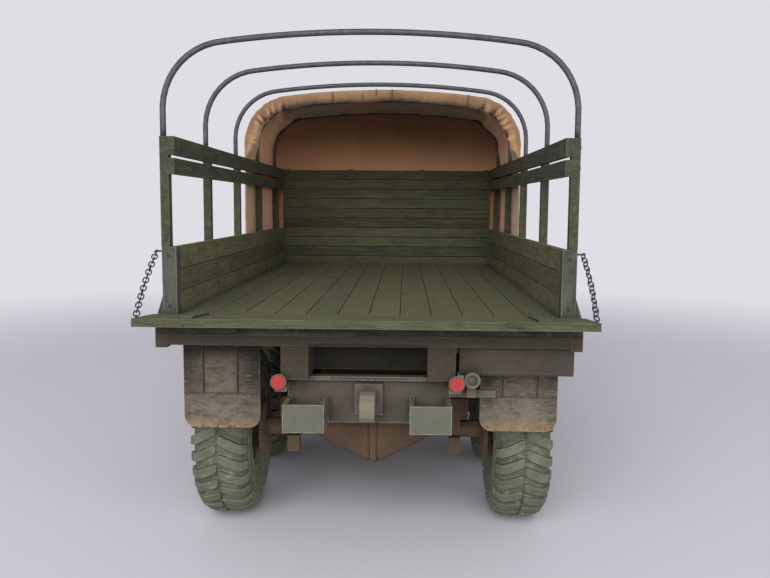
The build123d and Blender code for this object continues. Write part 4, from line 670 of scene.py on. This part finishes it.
WHEELS = (  # columns: name, station, side
    ("rear_left", REAR_AXLE_Y, -1), ("rear_right", REAR_AXLE_Y, 1),
    ("middle_left", MIDDLE_AXLE_Y, -1), ("middle_right", MIDDLE_AXLE_Y, 1),
    ("front_left", FRONT_AXLE_Y, -1), ("front_right", FRONT_AXLE_Y, 1),
)
for number, (name, station, side) in enumerate(WHEELS):
    tyre(f"{name}_tread", f"{name}_wheel_body", f"{name}_tyre", "X", 0.31 * number + 0.1,
         (side * TRACK / 2, station, AXLE_Z))
tyre("spare_tread", "truck", "spare_tyre", "Z", math.radians(90), (0, SPARE_Y, SPARE_Z))


# ------------------------------------------------------------------ tailgate chains
LINKS, WIRE_R = 16, 0.10


def gate_point(x, along_gate, above):
    """Point on the lowered tailgate: distance behind its hinge and height over its underside."""
    lift = math.radians(GATE_RISE_DEG)
    return Vector((x, HINGE_Y - along_gate * math.cos(lift),
                   HINGE_Z + along_gate * math.sin(lift) + above * math.cos(lift)))


def link_loop(centre, way, face, length, width, wire):
    """Points round one stadium-shaped link."""
    way, face = way.normalized(), face.normalized()
    across = face.cross(way).normalized()
    half, bend = (length - width) / 2, (width - wire) / 2
    points = []
    for end in (1, -1):
        for k in range(9):
            a = math.pi * (k / 8 - 0.5)
            points.append(centre + way * end * (half + bend * math.cos(a))
                          + across * end * bend * math.sin(a))
    return points


bm = bmesh.new()
for side in (-1, 1):
    top = Vector((side * (POST_OUT + 0.9), BED_REAR - 0.2, LOW_SIDE_TOP - 0.7))
    foot = gate_point(side * (GATE_HALF - 0.5), GATE_LENGTH - 0.7, GATE_T + 0.35)
    way = foot - top
    for index in range(LINKS):
        t = (index + 0.5) / LINKS
        centre = top + way * t + Vector((side * 0.25 * math.sin(math.pi * t), 0, 0))
        turn = math.radians(20 if index % 2 else 105) + 0.15 * math.sin(index * 2.1)
        face = Matrix.Rotation(turn, 3, way.normalized()) @ way.orthogonal().normalized()
        tube(bm, link_loop(centre, way, face, way.length / LINKS * 1.52, 0.98, 0.19), WIRE_R, 6, closed=True)
    # eye bolt on the post and pin on the gate
    tube(bm, [top + Vector((-side * 1.0, 0, 0)), top + Vector((side * 0.25, 0, 0.0)),
              top + Vector((side * 0.35, 0, -0.25))], 0.14, 8)
    tube(bm, [foot + Vector((0, 0, -0.6)), foot + Vector((0, 0, 0.1))], 0.16, 8)
piece("chain_links_round", bm, "chain", "truck", ("tailgate_chains",), smooth=True)


# ------------------------------------------------------------------ canvas tilt
def arch(grow, foot_z, per_mm):
    """A hoop's outline grown outwards: evenly spaced points from left foot to right foot, and its length."""
    leg_x, corner_r, crown_r = HOOP_X + grow, HOOP_CORNER_R + grow, HOOP_CROWN_R + grow
    crown_z, corner_x = HOOP_TOP - HOOP_CROWN_R, HOOP_X - HOOP_CORNER_R
    reach = HOOP_CROWN_R - HOOP_CORNER_R
    corner_z = crown_z + math.sqrt(reach ** 2 - corner_x ** 2)
    lean = math.asin(corner_x / reach)
    steps = 60
    dense = [(-leg_x, foot_z + (corner_z - foot_z) * k / steps) for k in range(steps)]
    for k in range(steps):
        a = math.pi - (math.pi / 2 - lean) * k / steps
        dense.append((-corner_x + corner_r * math.cos(a), corner_z + corner_r * math.sin(a)))
    left = list(dense)
    for k in range(2 * steps + 1):
        a = math.pi / 2 + lean - lean * k / steps
        dense.append((crown_r * math.cos(a), crown_z + crown_r * math.sin(a)))
    dense += [(-x, z) for x, z in reversed(left)]
    lengths = [0.0]
    for a, b in zip(dense, dense[1:]):
        lengths.append(lengths[-1] + math.dist(a, b))
    count = int(lengths[-1] * per_mm)
    out, k = [], 0
    for n in range(count + 1):
        want = lengths[-1] * n / count
        while k < len(lengths) - 2 and lengths[k + 1] < want:
            k += 1
        t = (want - lengths[k]) / max(lengths[k + 1] - lengths[k], 1e-9)
        out.append((dense[k][0] + t * (dense[k + 1][0] - dense[k][0]),
                    dense[k][1] + t * (dense[k + 1][1] - dense[k][1])))
    return out, lengths[-1]


def outward(points, k):
    """Unit normal of the arch at point k, pointing away from the load space."""
    a, b = points[max(k - 1, 0)], points[min(k + 1, len(points) - 1)]
    dx, dz = b[0] - a[0], b[1] - a[1]
    size = math.hypot(dx, dz)
    return (-dz / size, dx / size)


# the five hoops as smooth round rods, down to their seats in the posts
bm = bmesh.new()
rod_line, _ = arch(0.0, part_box("hoops")[0].z / MM, 0.7)
for index in range(HOOPS):
    tube(bm, [(x, BED_REAR + index * HOOP_PITCH, z) for x, z in rod_line], HOOP_ROD_R, 12)
rods = piece("hoop_rods", bm, "hoop", "truck", ("hoops",), smooth=True)

CLOTH_SCALE = 20.0       # the cloth is simulated at this many times the model's size
CLOTH_T = 0.22


def drape(obj, pinned, frames, stiffness, growth):
    """Runs Blender's cloth on a mesh given in millimetres, applies it and leaves the mesh in millimetres."""
    factor = CLOTH_SCALE * MM
    for vert in obj.data.vertices:
        vert.co *= factor
    group = obj.vertex_groups.new(name="pins")
    for index, weight in pinned:
        group.add([index], weight, "REPLACE")
    cloth = obj.modifiers.new("cloth", "CLOTH")
    settings = cloth.settings
    settings.quality = 6
    settings.mass = 0.25
    settings.tension_stiffness = settings.compression_stiffness = stiffness
    settings.shear_stiffness = stiffness * 0.4
    settings.bending_stiffness = 0.35
    settings.air_damping = 1.0
    settings.vertex_group_mass = "pins"
    settings.shrink_min = -growth
    cloth.collision_settings.use_collision = False
    cloth.collision_settings.use_self_collision = False
    cloth.point_cache.frame_start, cloth.point_cache.frame_end = 1, frames
    scene = bpy.context.scene
    for number in range(1, frames + 1):
        scene.frame_set(number)
    shape = obj.evaluated_get(bpy.context.evaluated_depsgraph_get()).to_mesh()
    found = [v.co.copy() / factor for v in shape.vertices]
    obj.modifiers.remove(cloth)
    obj.vertex_groups.clear()
    for vert, co in zip(obj.data.vertices, found):
        vert.co = co
    scene.frame_set(1)


def sheet_object(name, rows):
    """Grid mesh from rows of points in millimetres."""
    bm = bmesh.new()
    grid = [[bm.verts.new(p) for p in row] for row in rows]
    for a, b in zip(grid, grid[1:]):
        for k in range(len(a) - 1):
            bm.faces.new((a[k], a[k + 1], b[k + 1], b[k]))
    return meshed(name, bm)


def finish_cloth(obj, paint):
    """Back to metres, a real thickness, smooth shading, riding on the truck."""
    for vert in obj.data.vertices:
        vert.co *= MM
    for face in obj.data.polygons:
        face.use_smooth = True
    solid = obj.modifiers.new("thickness", "SOLIDIFY")
    solid.thickness = CLOTH_T * MM
    solid.offset = 0
    subdivided(obj)
    obj.data.materials.append(PAINT[paint])
    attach(obj, "truck")


def wobble(x, y, z, scale, seed):
    return noise.noise(Vector((x * scale + seed, y * scale - seed, z * scale + 3 * seed)))


def off_hoops(y):
    """Distance from the nearer of the two hoops that carry the tilt."""
    return min(abs(y - (BED_REAR + index * HOOP_PITCH)) for index in (3, 4))


SHEET_REAR_Y, SHEET_FRONT_Y = TILT_REAR_Y + 1.3, TILT_FRONT_Y - 0.3
SHEET_OUT = TILT_IN + 0.25       # how far outside the hoops' middle line the sheet lies
ROW_STEP = 1.1
line, arch_length = arch(SHEET_OUT, TILT_HEM_Z, 0.75)
across = len(line)
stations = []
y = SHEET_REAR_Y
while y < SHEET_FRONT_Y - 0.4:
    stations.append(y)
    y += ROW_STEP
stations.append(SHEET_FRONT_Y)
rows = []
for y in stations:
    row = []
    for k, (x, z) in enumerate(line):
        nx, nz = outward(line, k)
        lift = 0.22 * wobble(x, y, z, 0.12, 4.0) * (1 if z > 60 else 0.7)
        row.append((x + nx * lift, y, z + nz * lift))
    rows.append(row)
tilt = sheet_object("tilt_cloth", rows)
pins = []
for r, y in enumerate(stations):
    for k, (x, z) in enumerate(line):
        if r in (0, len(stations) - 1) or (off_hoops(y) < 0.7 and z > SHOULDER_Z):
            pins.append((r * across + k, 1.0))
        elif k in (0, across - 1):
            pins.append((r * across + k, 0.6))
drape(tilt, pins, frames=22, stiffness=12.0, growth=0.025)
for index, vert in enumerate(tilt.data.vertices):
    # the cloth lies on the hoops and hangs outside the posts, never inside them
    k = index % across
    x0, z0 = line[k]
    nx, nz = outward(line, k)
    off = (vert.co.x - x0) * nx + (vert.co.z - z0) * nz
    sag = 0.13 if off_hoops(vert.co.y) < 1.2 else 1.45
    fixed = min(max(off, -0.05 if z0 < RACK_TOP + 1 else -sag), 0.28)
    vert.co.x += nx * (fixed - off)
    vert.co.z += nz * (fixed - off)
finish_cloth(tilt, "canvas")
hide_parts("canvas_tilt")

# front curtain: hangs inside the arch's front edge, as wide as the arch and below its sides as the posts
CURTAIN_LEVELS, CURTAIN_COLUMNS = 48, 60
curtain_line, _ = arch(SHEET_OUT, CURTAIN_HEM_Z, 10.0)
curtain_top = max(z for x, z in curtain_line) - 0.02
curtain_rows = []
for n in range(CURTAIN_LEVELS + 1):
    z = CURTAIN_HEM_Z + (curtain_top - CURTAIN_HEM_Z) * (1 - (1 - n / CURTAIN_LEVELS) ** 1.5)
    wide = max(abs(x) for x, top_z in curtain_line if top_z >= z)
    if z < TILT_HEM_Z:
        wide = POST_OUT - 0.05
    row = []
    for k in range(CURTAIN_COLUMNS + 1):
        x = -wide + 2 * wide * k / CURTAIN_COLUMNS
        ripple = 0.10 * wobble(x, z, 0, 0.16, 9.0) + 0.08 * wobble(x, z, 0, 0.5, 2.0)
        row.append((x, SHEET_FRONT_Y - 0.1 + ripple, z))
    curtain_rows.append(row)
curtain = sheet_object("tilt_front_cloth", curtain_rows)
finish_cloth(curtain, "curtain")

# gathered rear edge: spare cloth folded under as far as the next hoop, puckered at the shoulders
HEM_SECTION = (  # columns: forward of the rear edge, outward of the hoops' middle line
    (0.00, 0.15), (0.05, 0.62), (0.35, 0.95), (1.00, 1.10), (2.00, 1.10), (3.20, 0.85), (5.00, 0.60),
    (8.00, 0.50), (11.30, 0.42), (11.55, 0.10), (11.30, -0.22), (8.50, -0.50), (5.60, -0.90),
    (3.40, -1.26), (2.00, -1.42), (1.10, -1.30), (0.50, -0.95), (0.15, -0.42),
)
HEM_REAR_Y = TILT_REAR_Y + 0.32
HEM_OUT_MOST, TIE_OUT_MOST = 1.16, 1.2
CLEAR_OF_POSTS = POST_OUT + 0.15 - HOOP_X
SHOULDER_X, SHOULDER_SPREAD = 26.5, 4.6


def hem_ring(line, k, share):
    """Points round the hem's section at one place of the arch; share is the way to it along the arch."""
    x, z = line[k]
    nx, nz = outward(line, k)
    shoulder = math.exp(-((abs(x) - SHOULDER_X) / SHOULDER_SPREAD) ** 2) if z > SHOULDER_Z else 0.10
    soft_slip = 0.22 * noise.noise(Vector((share * 0.30, 7.0, 1.0)))
    points = []
    for forward, out in HEM_SECTION:
        # sharp-crested folds that run forward from the hem, deepest on the shoulders
        skew = share + 0.18 * forward
        folds = min(abs(noise.noise(Vector((skew * 0.55, 0.3, 4.0)))) * 3.4, 1.2) - 0.7
        small = noise.noise(Vector((skew * 1.15, forward * 0.25, 9.0))) * 1.6
        soft = noise.noise(Vector((share * 0.13, forward * 0.16, 2.0)))
        depth = (0.16 + 0.75 * shoulder) * folds + (0.08 + 0.35 * shoulder) * small + 0.3 * soft
        puff = -0.25 * shoulder if out < 0 else 0.0
        reach = out + (depth * (1.0 if out < 0.4 else 0.25) + puff) * (1.0 if forward < 9 else 0.25)
        if 0.3 < forward < 3 and out > 0.5:
            reach = max(reach, 0.95 - 0.2 * shoulder)
        if z < RACK_TOP + 4:
            # outside the posts and slats
            reach += (max(reach, CLEAR_OF_POSTS) - reach) * min(1.0, (RACK_TOP + 4 - z) / 3)
        reach = min(reach, HEM_OUT_MOST)
        slip = soft_slip + 0.5 * shoulder * max(small, 0) * (forward < 1.3)
        points.append((x + nx * reach, HEM_REAR_Y + forward + max(slip, -0.3), z + nz * reach))
    return points


bm = bmesh.new()
hem_line, hem_length = arch(0.0, TILT_HEM_Z - 0.5, 2.2)
hem_last = len(hem_line) - 1
skin(bm, [[bm.verts.new(at) for at in hem_ring(hem_line, k, k / hem_last * hem_length)]
          for k in range(hem_last + 1)], caps=True)
hem = piece("tilt_gathered_edge", bm, "canvas", smooth=True)
subdivided(hem)

# thin ties sewn round the gathered edge
HEM_TIES = (  # columns: across, first and last point of the hem's section
    (2.1, 14, 21), (-11.3, 15, 19), (-4.6, 14, 18), (-1.2, 17, 21), (19.6, 15, 20),
)
# columns: off the cloth, along the arch
TIE_SECTION = ((-0.10, -0.13), (0.16, -0.11), (0.16, 0.11), (-0.10, 0.13))
bm = bmesh.new()
turns = len(HEM_SECTION)
for at, first, last in HEM_TIES:
    k = min((j for j in range(hem_last + 1) if hem_line[j][1] > CROWN_Z),
            key=lambda j: abs(hem_line[j][0] - at))
    x, z = hem_line[k]
    nx, nz = outward(hem_line, k)
    quads = []
    for index in range(first, last + 1):
        forward, out = HEM_SECTION[index % turns]
        ahead, behind = HEM_SECTION[(index + 1) % turns], HEM_SECTION[(index - 1) % turns]
        # unit way off the section's face, in (forward, outward)
        off = Vector((-(ahead[1] - behind[1]), ahead[0] - behind[0])).normalized()
        quad = []
        for high, wide in TIE_SECTION:
            reach = min(out + off.y * high, TIE_OUT_MOST)
            quad.append(bm.verts.new((x + nx * reach + nz * wide, HEM_REAR_Y + forward + off.x * high,
                                      z + nz * reach - nx * wide)))
        quads.append(quad)
    skin(bm, quads, caps=True)
piece("tilt_tie_straps", bm, "strap")

# ------------------------------------------------------------------ cab seat
SEAT_HALF, PANEL_PITCH, PANEL_CROWN = 20.2, 6.73, 0.38
BACK_FRONT_Y = CAB_REAR + 4.7
bm = bmesh.new()
slab(bm, (-SEAT_HALF, CAB_REAR + 5.3, CAB_FLOOR_Z + 1.3),
     (SEAT_HALF, CAB_REAR + 14.0, CAB_FLOOR_Z + 5.6), 0.8)
slab(bm, (-SEAT_HALF, CAB_REAR + 2.3, CAB_FLOOR_Z + 6.3),
     (SEAT_HALF, BACK_FRONT_Y, CAB_FLOOR_Z + 17.6), 0.8)
cushion = piece("seat_cushions", bm, "seat", "truck", ("cab_seat",), smooth=True)
grid = cushion.modifiers.new("grid", "REMESH")
grid.mode, grid.voxel_size = "VOXEL", 0.55 * MM
dense = bpy.data.meshes.new_from_object(cushion.evaluated_get(bpy.context.evaluated_depsgraph_get()))
cushion.modifiers.clear()
cushion.data = dense
if not dense.materials:
    dense.materials.append(PAINT["seat"])
for vert in dense.vertices:
    x, y, z = vert.co / MM
    # crowned panels between the sewn channels
    channel = abs(((x + SEAT_HALF) / PANEL_PITCH) % 1 - 0.5) * 2
    rise = (PANEL_CROWN * (1 - channel ** 4) - 0.2) * MM
    if y < BACK_FRONT_Y + 0.3:
        vert.co.y += rise if y > CAB_REAR + 3.5 else 0
    else:
        vert.co.z += rise if z > CAB_FLOOR_Z + 3.5 else 0
for face in dense.polygons:
    face.use_smooth = True

# ------------------------------------------------------------------ small hardware on the bed
REARWARD = (0, -1, 0)
bm = bmesh.new()
for side in (-1, 1):
    inward, outside = (-side, 0, 0), (side, 0, 0)
    for index in range(HOOPS):
        post_y = BED_REAR + index * HOOP_PITCH
        # slat bolts, through post and slat
        for z in (RACK_TOP - 1.35, RACK_TOP - 4.4):
            for step in (-0.35, 0.35):
                bolt(bm, (side * SIDE_IN, post_y + step, z + step), inward, 0.2, 0.16, washer=False)
            bolt(bm, (side * POST_OUT, post_y, z), outside, 0.26, 0.2)
        if index:
            for board in range(3):
                z = FLOOR_TOP + (board + 0.5) * SIDE_BOARD_H
                for step in (-0.8, 0.8):
                    bolt(bm, (side * SIDE_IN, post_y, z + step), inward, 0.2, 0.14, washer=False)
                bolt(bm, (side * POST_OUT, post_y, z), outside, 0.28, 0.2)
    # corner posts, from behind and from the side, and the side rail
    for rise in (1.4, 9.0):
        bolt(bm, (side * (SIDE_IN + 1.1), BED_REAR - 0.7, FLOOR_TOP + rise), REARWARD, 0.24, 0.16,
             washer=False)
    for rise in (2.5, 5.1, 7.7):
        bolt(bm, (side * POST_OUT, BED_REAR + 0.5, FLOOR_TOP + rise), outside, 0.26, 0.18)
    for k in range(7):
        bolt(bm, (side * RAIL_OUT, BED_REAR + 6 + k * 15.5, FLOOR_TOP - 3.1), outside, 0.3, 0.2)
    for x in (10.9, 20.4, 27.2):
        bolt(bm, (side * x, BED_REAR - 1.4, FLOOR_TOP - 2.1), REARWARD, 0.3, 0.2)
    for index in range(10):
        for x in (10.0, 28.3):
            bolt(bm, (side * x, BULKHEAD_Y, FLOOR_TOP + 1.25 + index * BULKHEAD_PITCH), REARWARD, 0.2, 0.14,
                 washer=False)
piece("bed_bolts", bm, "dark")

# bolts of the frame's tail and rivets along the tool box
TAIL_Y, BOX_Y = -87.6, -88.4
bm = bmesh.new()
for x in (-11.2, -4.6, 4.6, 11.2):
    bolt(bm, (x, TAIL_Y, 29.2), REARWARD, 0.3, 0.2)
for k in range(6):
    rivet(bm, (16.2 + k * 2.6, BOX_Y, 31.9), REARWARD, 0.2, 0.12)
piece("tail_rivets", bm, "frame")

# pressed web under the cross member over the bogie, which closes the view under the bed
WEB_HALF, WEB_FOOT_Z, WEB_TOP = 12.3, 21.5, 25.3
bm = bmesh.new()
slab(bm, (-WEB_HALF, BOGIE_Y - 0.3, WEB_FOOT_Z), (WEB_HALF, BOGIE_Y + 0.3, WEB_TOP), 0.12)
slab(bm, (-10.5, BOGIE_Y - 1.4, WEB_FOOT_Z), (10.5, BOGIE_Y - 0.2, WEB_FOOT_Z + 0.5), 0.1)
for x in (-9.0, -4.5, 0.0, 4.5, 9.0):
    rivet(bm, (x, BOGIE_Y - 0.3, WEB_TOP - 1.0), REARWARD, 0.3, 0.2)
piece("bogie_web", bm, "frame")

# boxes on the driven axles for the springs' ends, and a clamp with a stop block over each spring's middle
BOX_HALF_L, BOX_WALL = 1.9, 0.45
bm = bmesh.new()
for side in (-1, 1):
    low_x, high_x = sorted((side * (SPRING_X - 1.7), side * (SPRING_X + 2.6)))
    for axle_y, away in ((REAR_AXLE_Y, -1), (MIDDLE_AXLE_Y, 1)):
        rear_y, front_y, plate_y = axle_y - BOX_HALF_L, axle_y + BOX_HALF_L, axle_y + away * 1.3
        for x in (low_x, high_x - BOX_WALL):
            slab(bm, (x, rear_y, SEAT_TOP - 0.5), (x + BOX_WALL, front_y, SEAT_TOP + 3.4), 0.1)
        slab(bm, (low_x, rear_y, SEAT_TOP + 3.0), (high_x, front_y, SEAT_TOP + 3.5), 0.1)
        slab(bm, (low_x + 0.3, plate_y - 0.25, SEAT_TOP - 0.5),
             (high_x - 0.3, plate_y + 0.25, SEAT_TOP + 3.2))
    slab(bm, (side * SPRING_X - 1.7, BOGIE_Y - 2.6, SPRING_TOP),
         (side * SPRING_X + 1.7, BOGIE_Y + 2.6, SPRING_TOP + 0.6), 0.1)
    low_x, high_x = sorted((side * (SPRING_X - 1.5), side * (SPRING_X + 2.4)))
    slab(bm, (low_x, BOGIE_Y - 1.3, SPRING_TOP + 0.5), (high_x, BOGIE_Y + 1.3, SPRING_TOP + 3.8), 0.25)
    for x in (side * SPRING_X - 1.45, side * SPRING_X + 1.45):
        for y in (BOGIE_Y - 2.0, BOGIE_Y + 2.0):
            tube(bm, [(x, y, SPRING_TOP - 3.2), (x, y, SPRING_TOP + 1.1)], 0.22)
            bolt(bm, (x, y, SPRING_TOP + 0.6), (0, 0, 1), 0.36, 0.35)
piece("spring_boxes_and_clamps", bm, "axle")

# rolled rims of the tail lamps' cups
bm = bmesh.new()
for x in (-TAIL_LAMP_X, TAIL_LAMP_X):
    tube(bm, circle((x, BED_REAR - 1.42, TAIL_LAMP_Z), TAIL_LAMP_R, 32, (1, 0, 0)), 0.16, closed=True)
piece("tail_lamp_rims", bm, "lamp", smooth=True)

# pressed lines and the fixing strip of the mudguards
bm = bmesh.new()
for side in (-1, 1):
    for line_x in GUARD_LINES:
        x = side * line_x
        slab(bm, (x - 0.30, GUARD_FACE_Y - 0.12, GUARD_FOLD_Z), (x - 0.16, GUARD_FACE_Y + 0.1, 35.8), 0.03)
    for x in (GUARD_MID_X - 5.1, GUARD_MID_X, GUARD_MID_X + 5.1):
        rivet(bm, (side * x, GUARD_FACE_Y, 35.0), REARWARD, 0.26, 0.16)
piece("mudguard_ribs", bm, "guard")

# ------------------------------------------------------------------ cab and hood trim
HANDLE_Y, HANDLE_Z, DOOR_FRONT_Y = 35.0, 51.0, 55.3
bm = bmesh.new()
for side in (-1, 1):
    x = side * (CAB_HALF + 0.02)
    # door handle, hinges and the rain lip
    grip_x, hinge_x = x + side * 0.8, x + side * 0.15
    tube(bm, [(x, HANDLE_Y, HANDLE_Z), (x + side * 0.7, HANDLE_Y, HANDLE_Z),
              (grip_x, HANDLE_Y + 0.6, HANDLE_Z), (grip_x, HANDLE_Y + 3.0, HANDLE_Z - 0.1)], 0.28)
    for z in (38.0, 49.5):
        tube(bm, [(hinge_x, DOOR_FRONT_Y, z - 0.9), (hinge_x, DOOR_FRONT_Y, z + 0.9)], 0.42, 10)
    lip = sorted((x, x + side * 0.5))
    slab(bm, (lip[0], HANDLE_Y - 4.0, 64.4), (lip[1], DOOR_FRONT_Y - 0.7, 64.8), 0.12)
    # wiper over each windscreen pane
    tube(bm, [(side * 10.6, COWL_Y - 2.3, 65.0), (side * 10.6, COWL_Y - 1.55, 64.6),
              (side * 7.2, COWL_Y - 0.75, 59.6)], 0.16, 6)
    tube(bm, [(side * 4.6, COWL_Y - 0.5, 57.6), (side * 9.2, COWL_Y - 1.0, 62.0)], 0.14, 6)
piece("cab_fittings", bm, "dark", smooth=True)

# hood side louvres and catches
LOUVRES = ([(6.5 + k * 2.4, 0.0, 0.9, 41.0, 46.6, 0.25) for k in range(9)]
           + [(y, -0.5, 0.5, 38.9, 40.6, 0.4) for y in (4.0, 29.0)])
bm = bmesh.new()
for side in (-1, 1):
    # columns: way ahead of the cowl, reach back and ahead of there, foot, top, half the thickness
    for ahead, rear, front, foot_z, top_z, thick in LOUVRES:
        x = side * (HOOD_REAR_HALF + (HOOD_FRONT_HALF - HOOD_REAR_HALF) * ahead / HOOD_LENGTH)
        y = COWL_Y + ahead
        slab(bm, (x - thick, y + rear, foot_z), (x + thick, y + front, top_z), 0.18)
piece("hood_louvres", bm, "body")

KNUCKLES = 17
bm = bmesh.new()
for k in range(KNUCKLES):
    ahead = 0.6 + (RADIATOR_Y - 3.2 - COWL_Y) * k / (KNUCKLES - 1)
    lathe(bm, ((0.34, -0.9), (0.34, 0.9)),
          (0, COWL_Y + ahead, HOOD_REAR_Z - HOOD_DROP * ahead / HOOD_LENGTH + 0.02), (0, 1, -0.09), 10)
piece("hood_hinge", bm, "body", smooth=True)

bm = bmesh.new()
for side in (-1, 1):
    centre = (side * HEADLAMP_X, HEADLAMP_Y + 0.15, HEADLAMP_Z)
    tube(bm, circle(centre, HEADLAMP_R, 48, (1, 0, 0)), 0.22, closed=True)
piece("headlamp_rims", bm, "body", smooth=True)

# rolled flange round each rim's two edges, and the nuts on its disc
FLANGE = (  # columns: radius, way out from the rim's middle
    (6.25, 3.2), (6.25, 3.62), (6.75, 3.86), (7.15, 3.90), (7.32, 3.74), (7.25, 3.52), (6.9, 3.3), (6.6, 3.1),
)
NUTS, NUT_CIRCLE_R, DISC_OUT = 8, 2.9, 1.75
for name, station, side in WHEELS:
    bm = bmesh.new()
    for edge in (-1, 1):
        lathe(bm, FLANGE, (side * TRACK / 2, station, AXLE_Z), (edge, 0, 0), 48, hollow=True)
    for k in range(NUTS):
        a = 2 * math.pi * (k + 0.5) / NUTS
        bolt(bm, (side * (TRACK / 2 + DISC_OUT), station + NUT_CIRCLE_R * math.cos(a),
                  AXLE_Z + NUT_CIRCLE_R * math.sin(a)), (side, 0, 0), 0.3, 0.3)
    piece(f"{name}_flange_and_nuts", bm, "wheel", f"{name}_wheel_body")

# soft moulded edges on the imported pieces, which also catch the light
for name in ("bed_frame", "tailgate", "low_sides", "side_racks", "bulkhead", "corner_posts",
             "rear_crossmember", "mudguards", "tool_box", "front_bumper", "fuel_tanks", "cab_shell",
             "left_door", "right_door", "hood", "radiator_grille", "running_boards", "trailer_socket"):
    round_edges(nodes[name], 0.10, 40)


# ------------------------------------------------------------------ stage, light and camera
FLOOR_RADII = (0.1, 0.2, 0.35, 0.6, 1.0, 1.6, 2.6, 4.0, 6.0)     # metres


def floor_disc():
    """Large pale round floor whose rim fades into the background; its sizes are metres."""
    bm = bmesh.new()
    turns = [2 * math.pi * k / 96 for k in range(96)]
    rings = [[bm.verts.new((radius * math.cos(a), radius * math.sin(a), 0)) for a in turns]
             for radius in FLOOR_RADII]
    bm.faces.new(rings[0])
    skin(bm, list(reversed(rings)))
    bmesh.ops.translate(bm, vec=(0, 0, -0.00003), verts=bm.verts)
    obj = meshed("studio_floor", bm)
    material = bpy.data.materials.new("seamless_paper")
    material.use_nodes = True
    tree = material.node_tree
    tree.nodes.clear()
    paper = add_node(tree, "BsdfDiffuse", Color=rgb(216, 215, 223))
    blend = add_node(tree, "MixShader")
    length = add_node(tree, "VectorMath")
    length.operation = "LENGTH"
    fade = add_node(tree, "MapRange", From_Min=0.12, From_Max=0.38)
    fade.interpolation_type = "SMOOTHSTEP"
    for source, target in ((add_node(tree, "NewGeometry").outputs["Position"], length.inputs[0]),
                           (length.outputs["Value"], fade.inputs["Value"]),
                           (fade.outputs[0], blend.inputs[0]),
                           (paper.outputs[0], blend.inputs[1]),
                           (add_node(tree, "BsdfTransparent").outputs[0], blend.inputs[2]),
                           (blend.outputs[0], add_node(tree, "OutputMaterial").inputs[0])):
        tree.links.new(source, target)
    obj.data.materials.append(material)
    obj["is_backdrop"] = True


floor_disc()

world = bpy.data.worlds.new("studio")
bpy.context.scene.world = world
world.use_nodes = True
tree = world.node_tree
tree.nodes.clear()
ambient = add_node(tree, "Background", Color=rgb(232, 232, 238), Strength=0.55)
shown = add_node(tree, "Background", Color=rgb(224, 222, 229), Strength=1.0)
choose = add_node(tree, "MixShader")
for source, target in ((add_node(tree, "LightPath").outputs["Is Camera Ray"], choose.inputs[0]),
                       (ambient.outputs[0], choose.inputs[1]),
                       (shown.outputs[0], choose.inputs[2]),
                       (choose.outputs[0], add_node(tree, "OutputWorld").inputs[0])):
    tree.links.new(source, target)


def soft_light(name, at, aim, size, power, colour):
    """Rectangular lamp; places and sizes are metres."""
    lamp = bpy.data.lights.new(name, "AREA")
    lamp.shape = "RECTANGLE"
    lamp.size, lamp.size_y = size
    lamp.energy = power
    lamp.color = colour
    obj = placed(name, lamp)
    obj.location = at
    obj.rotation_mode = "QUATERNION"
    obj.rotation_quaternion = (Vector(aim) - Vector(at)).to_track_quat("-Z", "Y")


soft_light("overhead", (-0.08, -0.72, 0.36), (0, -0.05, 0.02), (0.6, 0.5), 5.0, (1.0, 0.985, 0.97))
soft_light("fill_left", (-0.5, -0.45, 0.12), (0, -0.03, 0.02), (0.45, 0.22), 0.7, (0.97, 0.98, 1.0))
soft_light("fill_right", (0.5, -0.45, 0.12), (0, 0, 0.02), (0.45, 0.22), 1.25, (1.0, 0.99, 0.98))

scene = bpy.context.scene
scene.view_settings.view_transform = "Standard"
scene.view_settings.look = "None"
FILM, FOCAL_SHARE = 36.0, 790.7 / 770.0          # the focal length is this share of the film's width
camera = bpy.data.cameras.new("main_camera")
camera.sensor_fit = "HORIZONTAL"
camera.sensor_width = FILM
camera.lens = FILM * FOCAL_SHARE
camera.clip_start, camera.clip_end = 0.005, 60.0
viewer = placed("main_camera", camera)
yaw, pitch, roll = -0.025, 0.105, 0.007
forward = Vector((math.sin(yaw) * math.cos(pitch), math.cos(yaw) * math.cos(pitch), -math.sin(pitch)))
right = Vector((math.cos(yaw), -math.sin(yaw), 0.0))
up = right.cross(forward)
turn = Matrix((right * math.cos(roll) + up * math.sin(roll), up * math.cos(roll) - right * math.sin(roll),
               -forward)).transposed()
viewer.matrix_world = Matrix.Translation(Vector((5.525, -119.455 + BED_REAR, 57.297)) * MM) @ turn.to_4x4()
scene.camera = viewer

low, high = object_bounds()
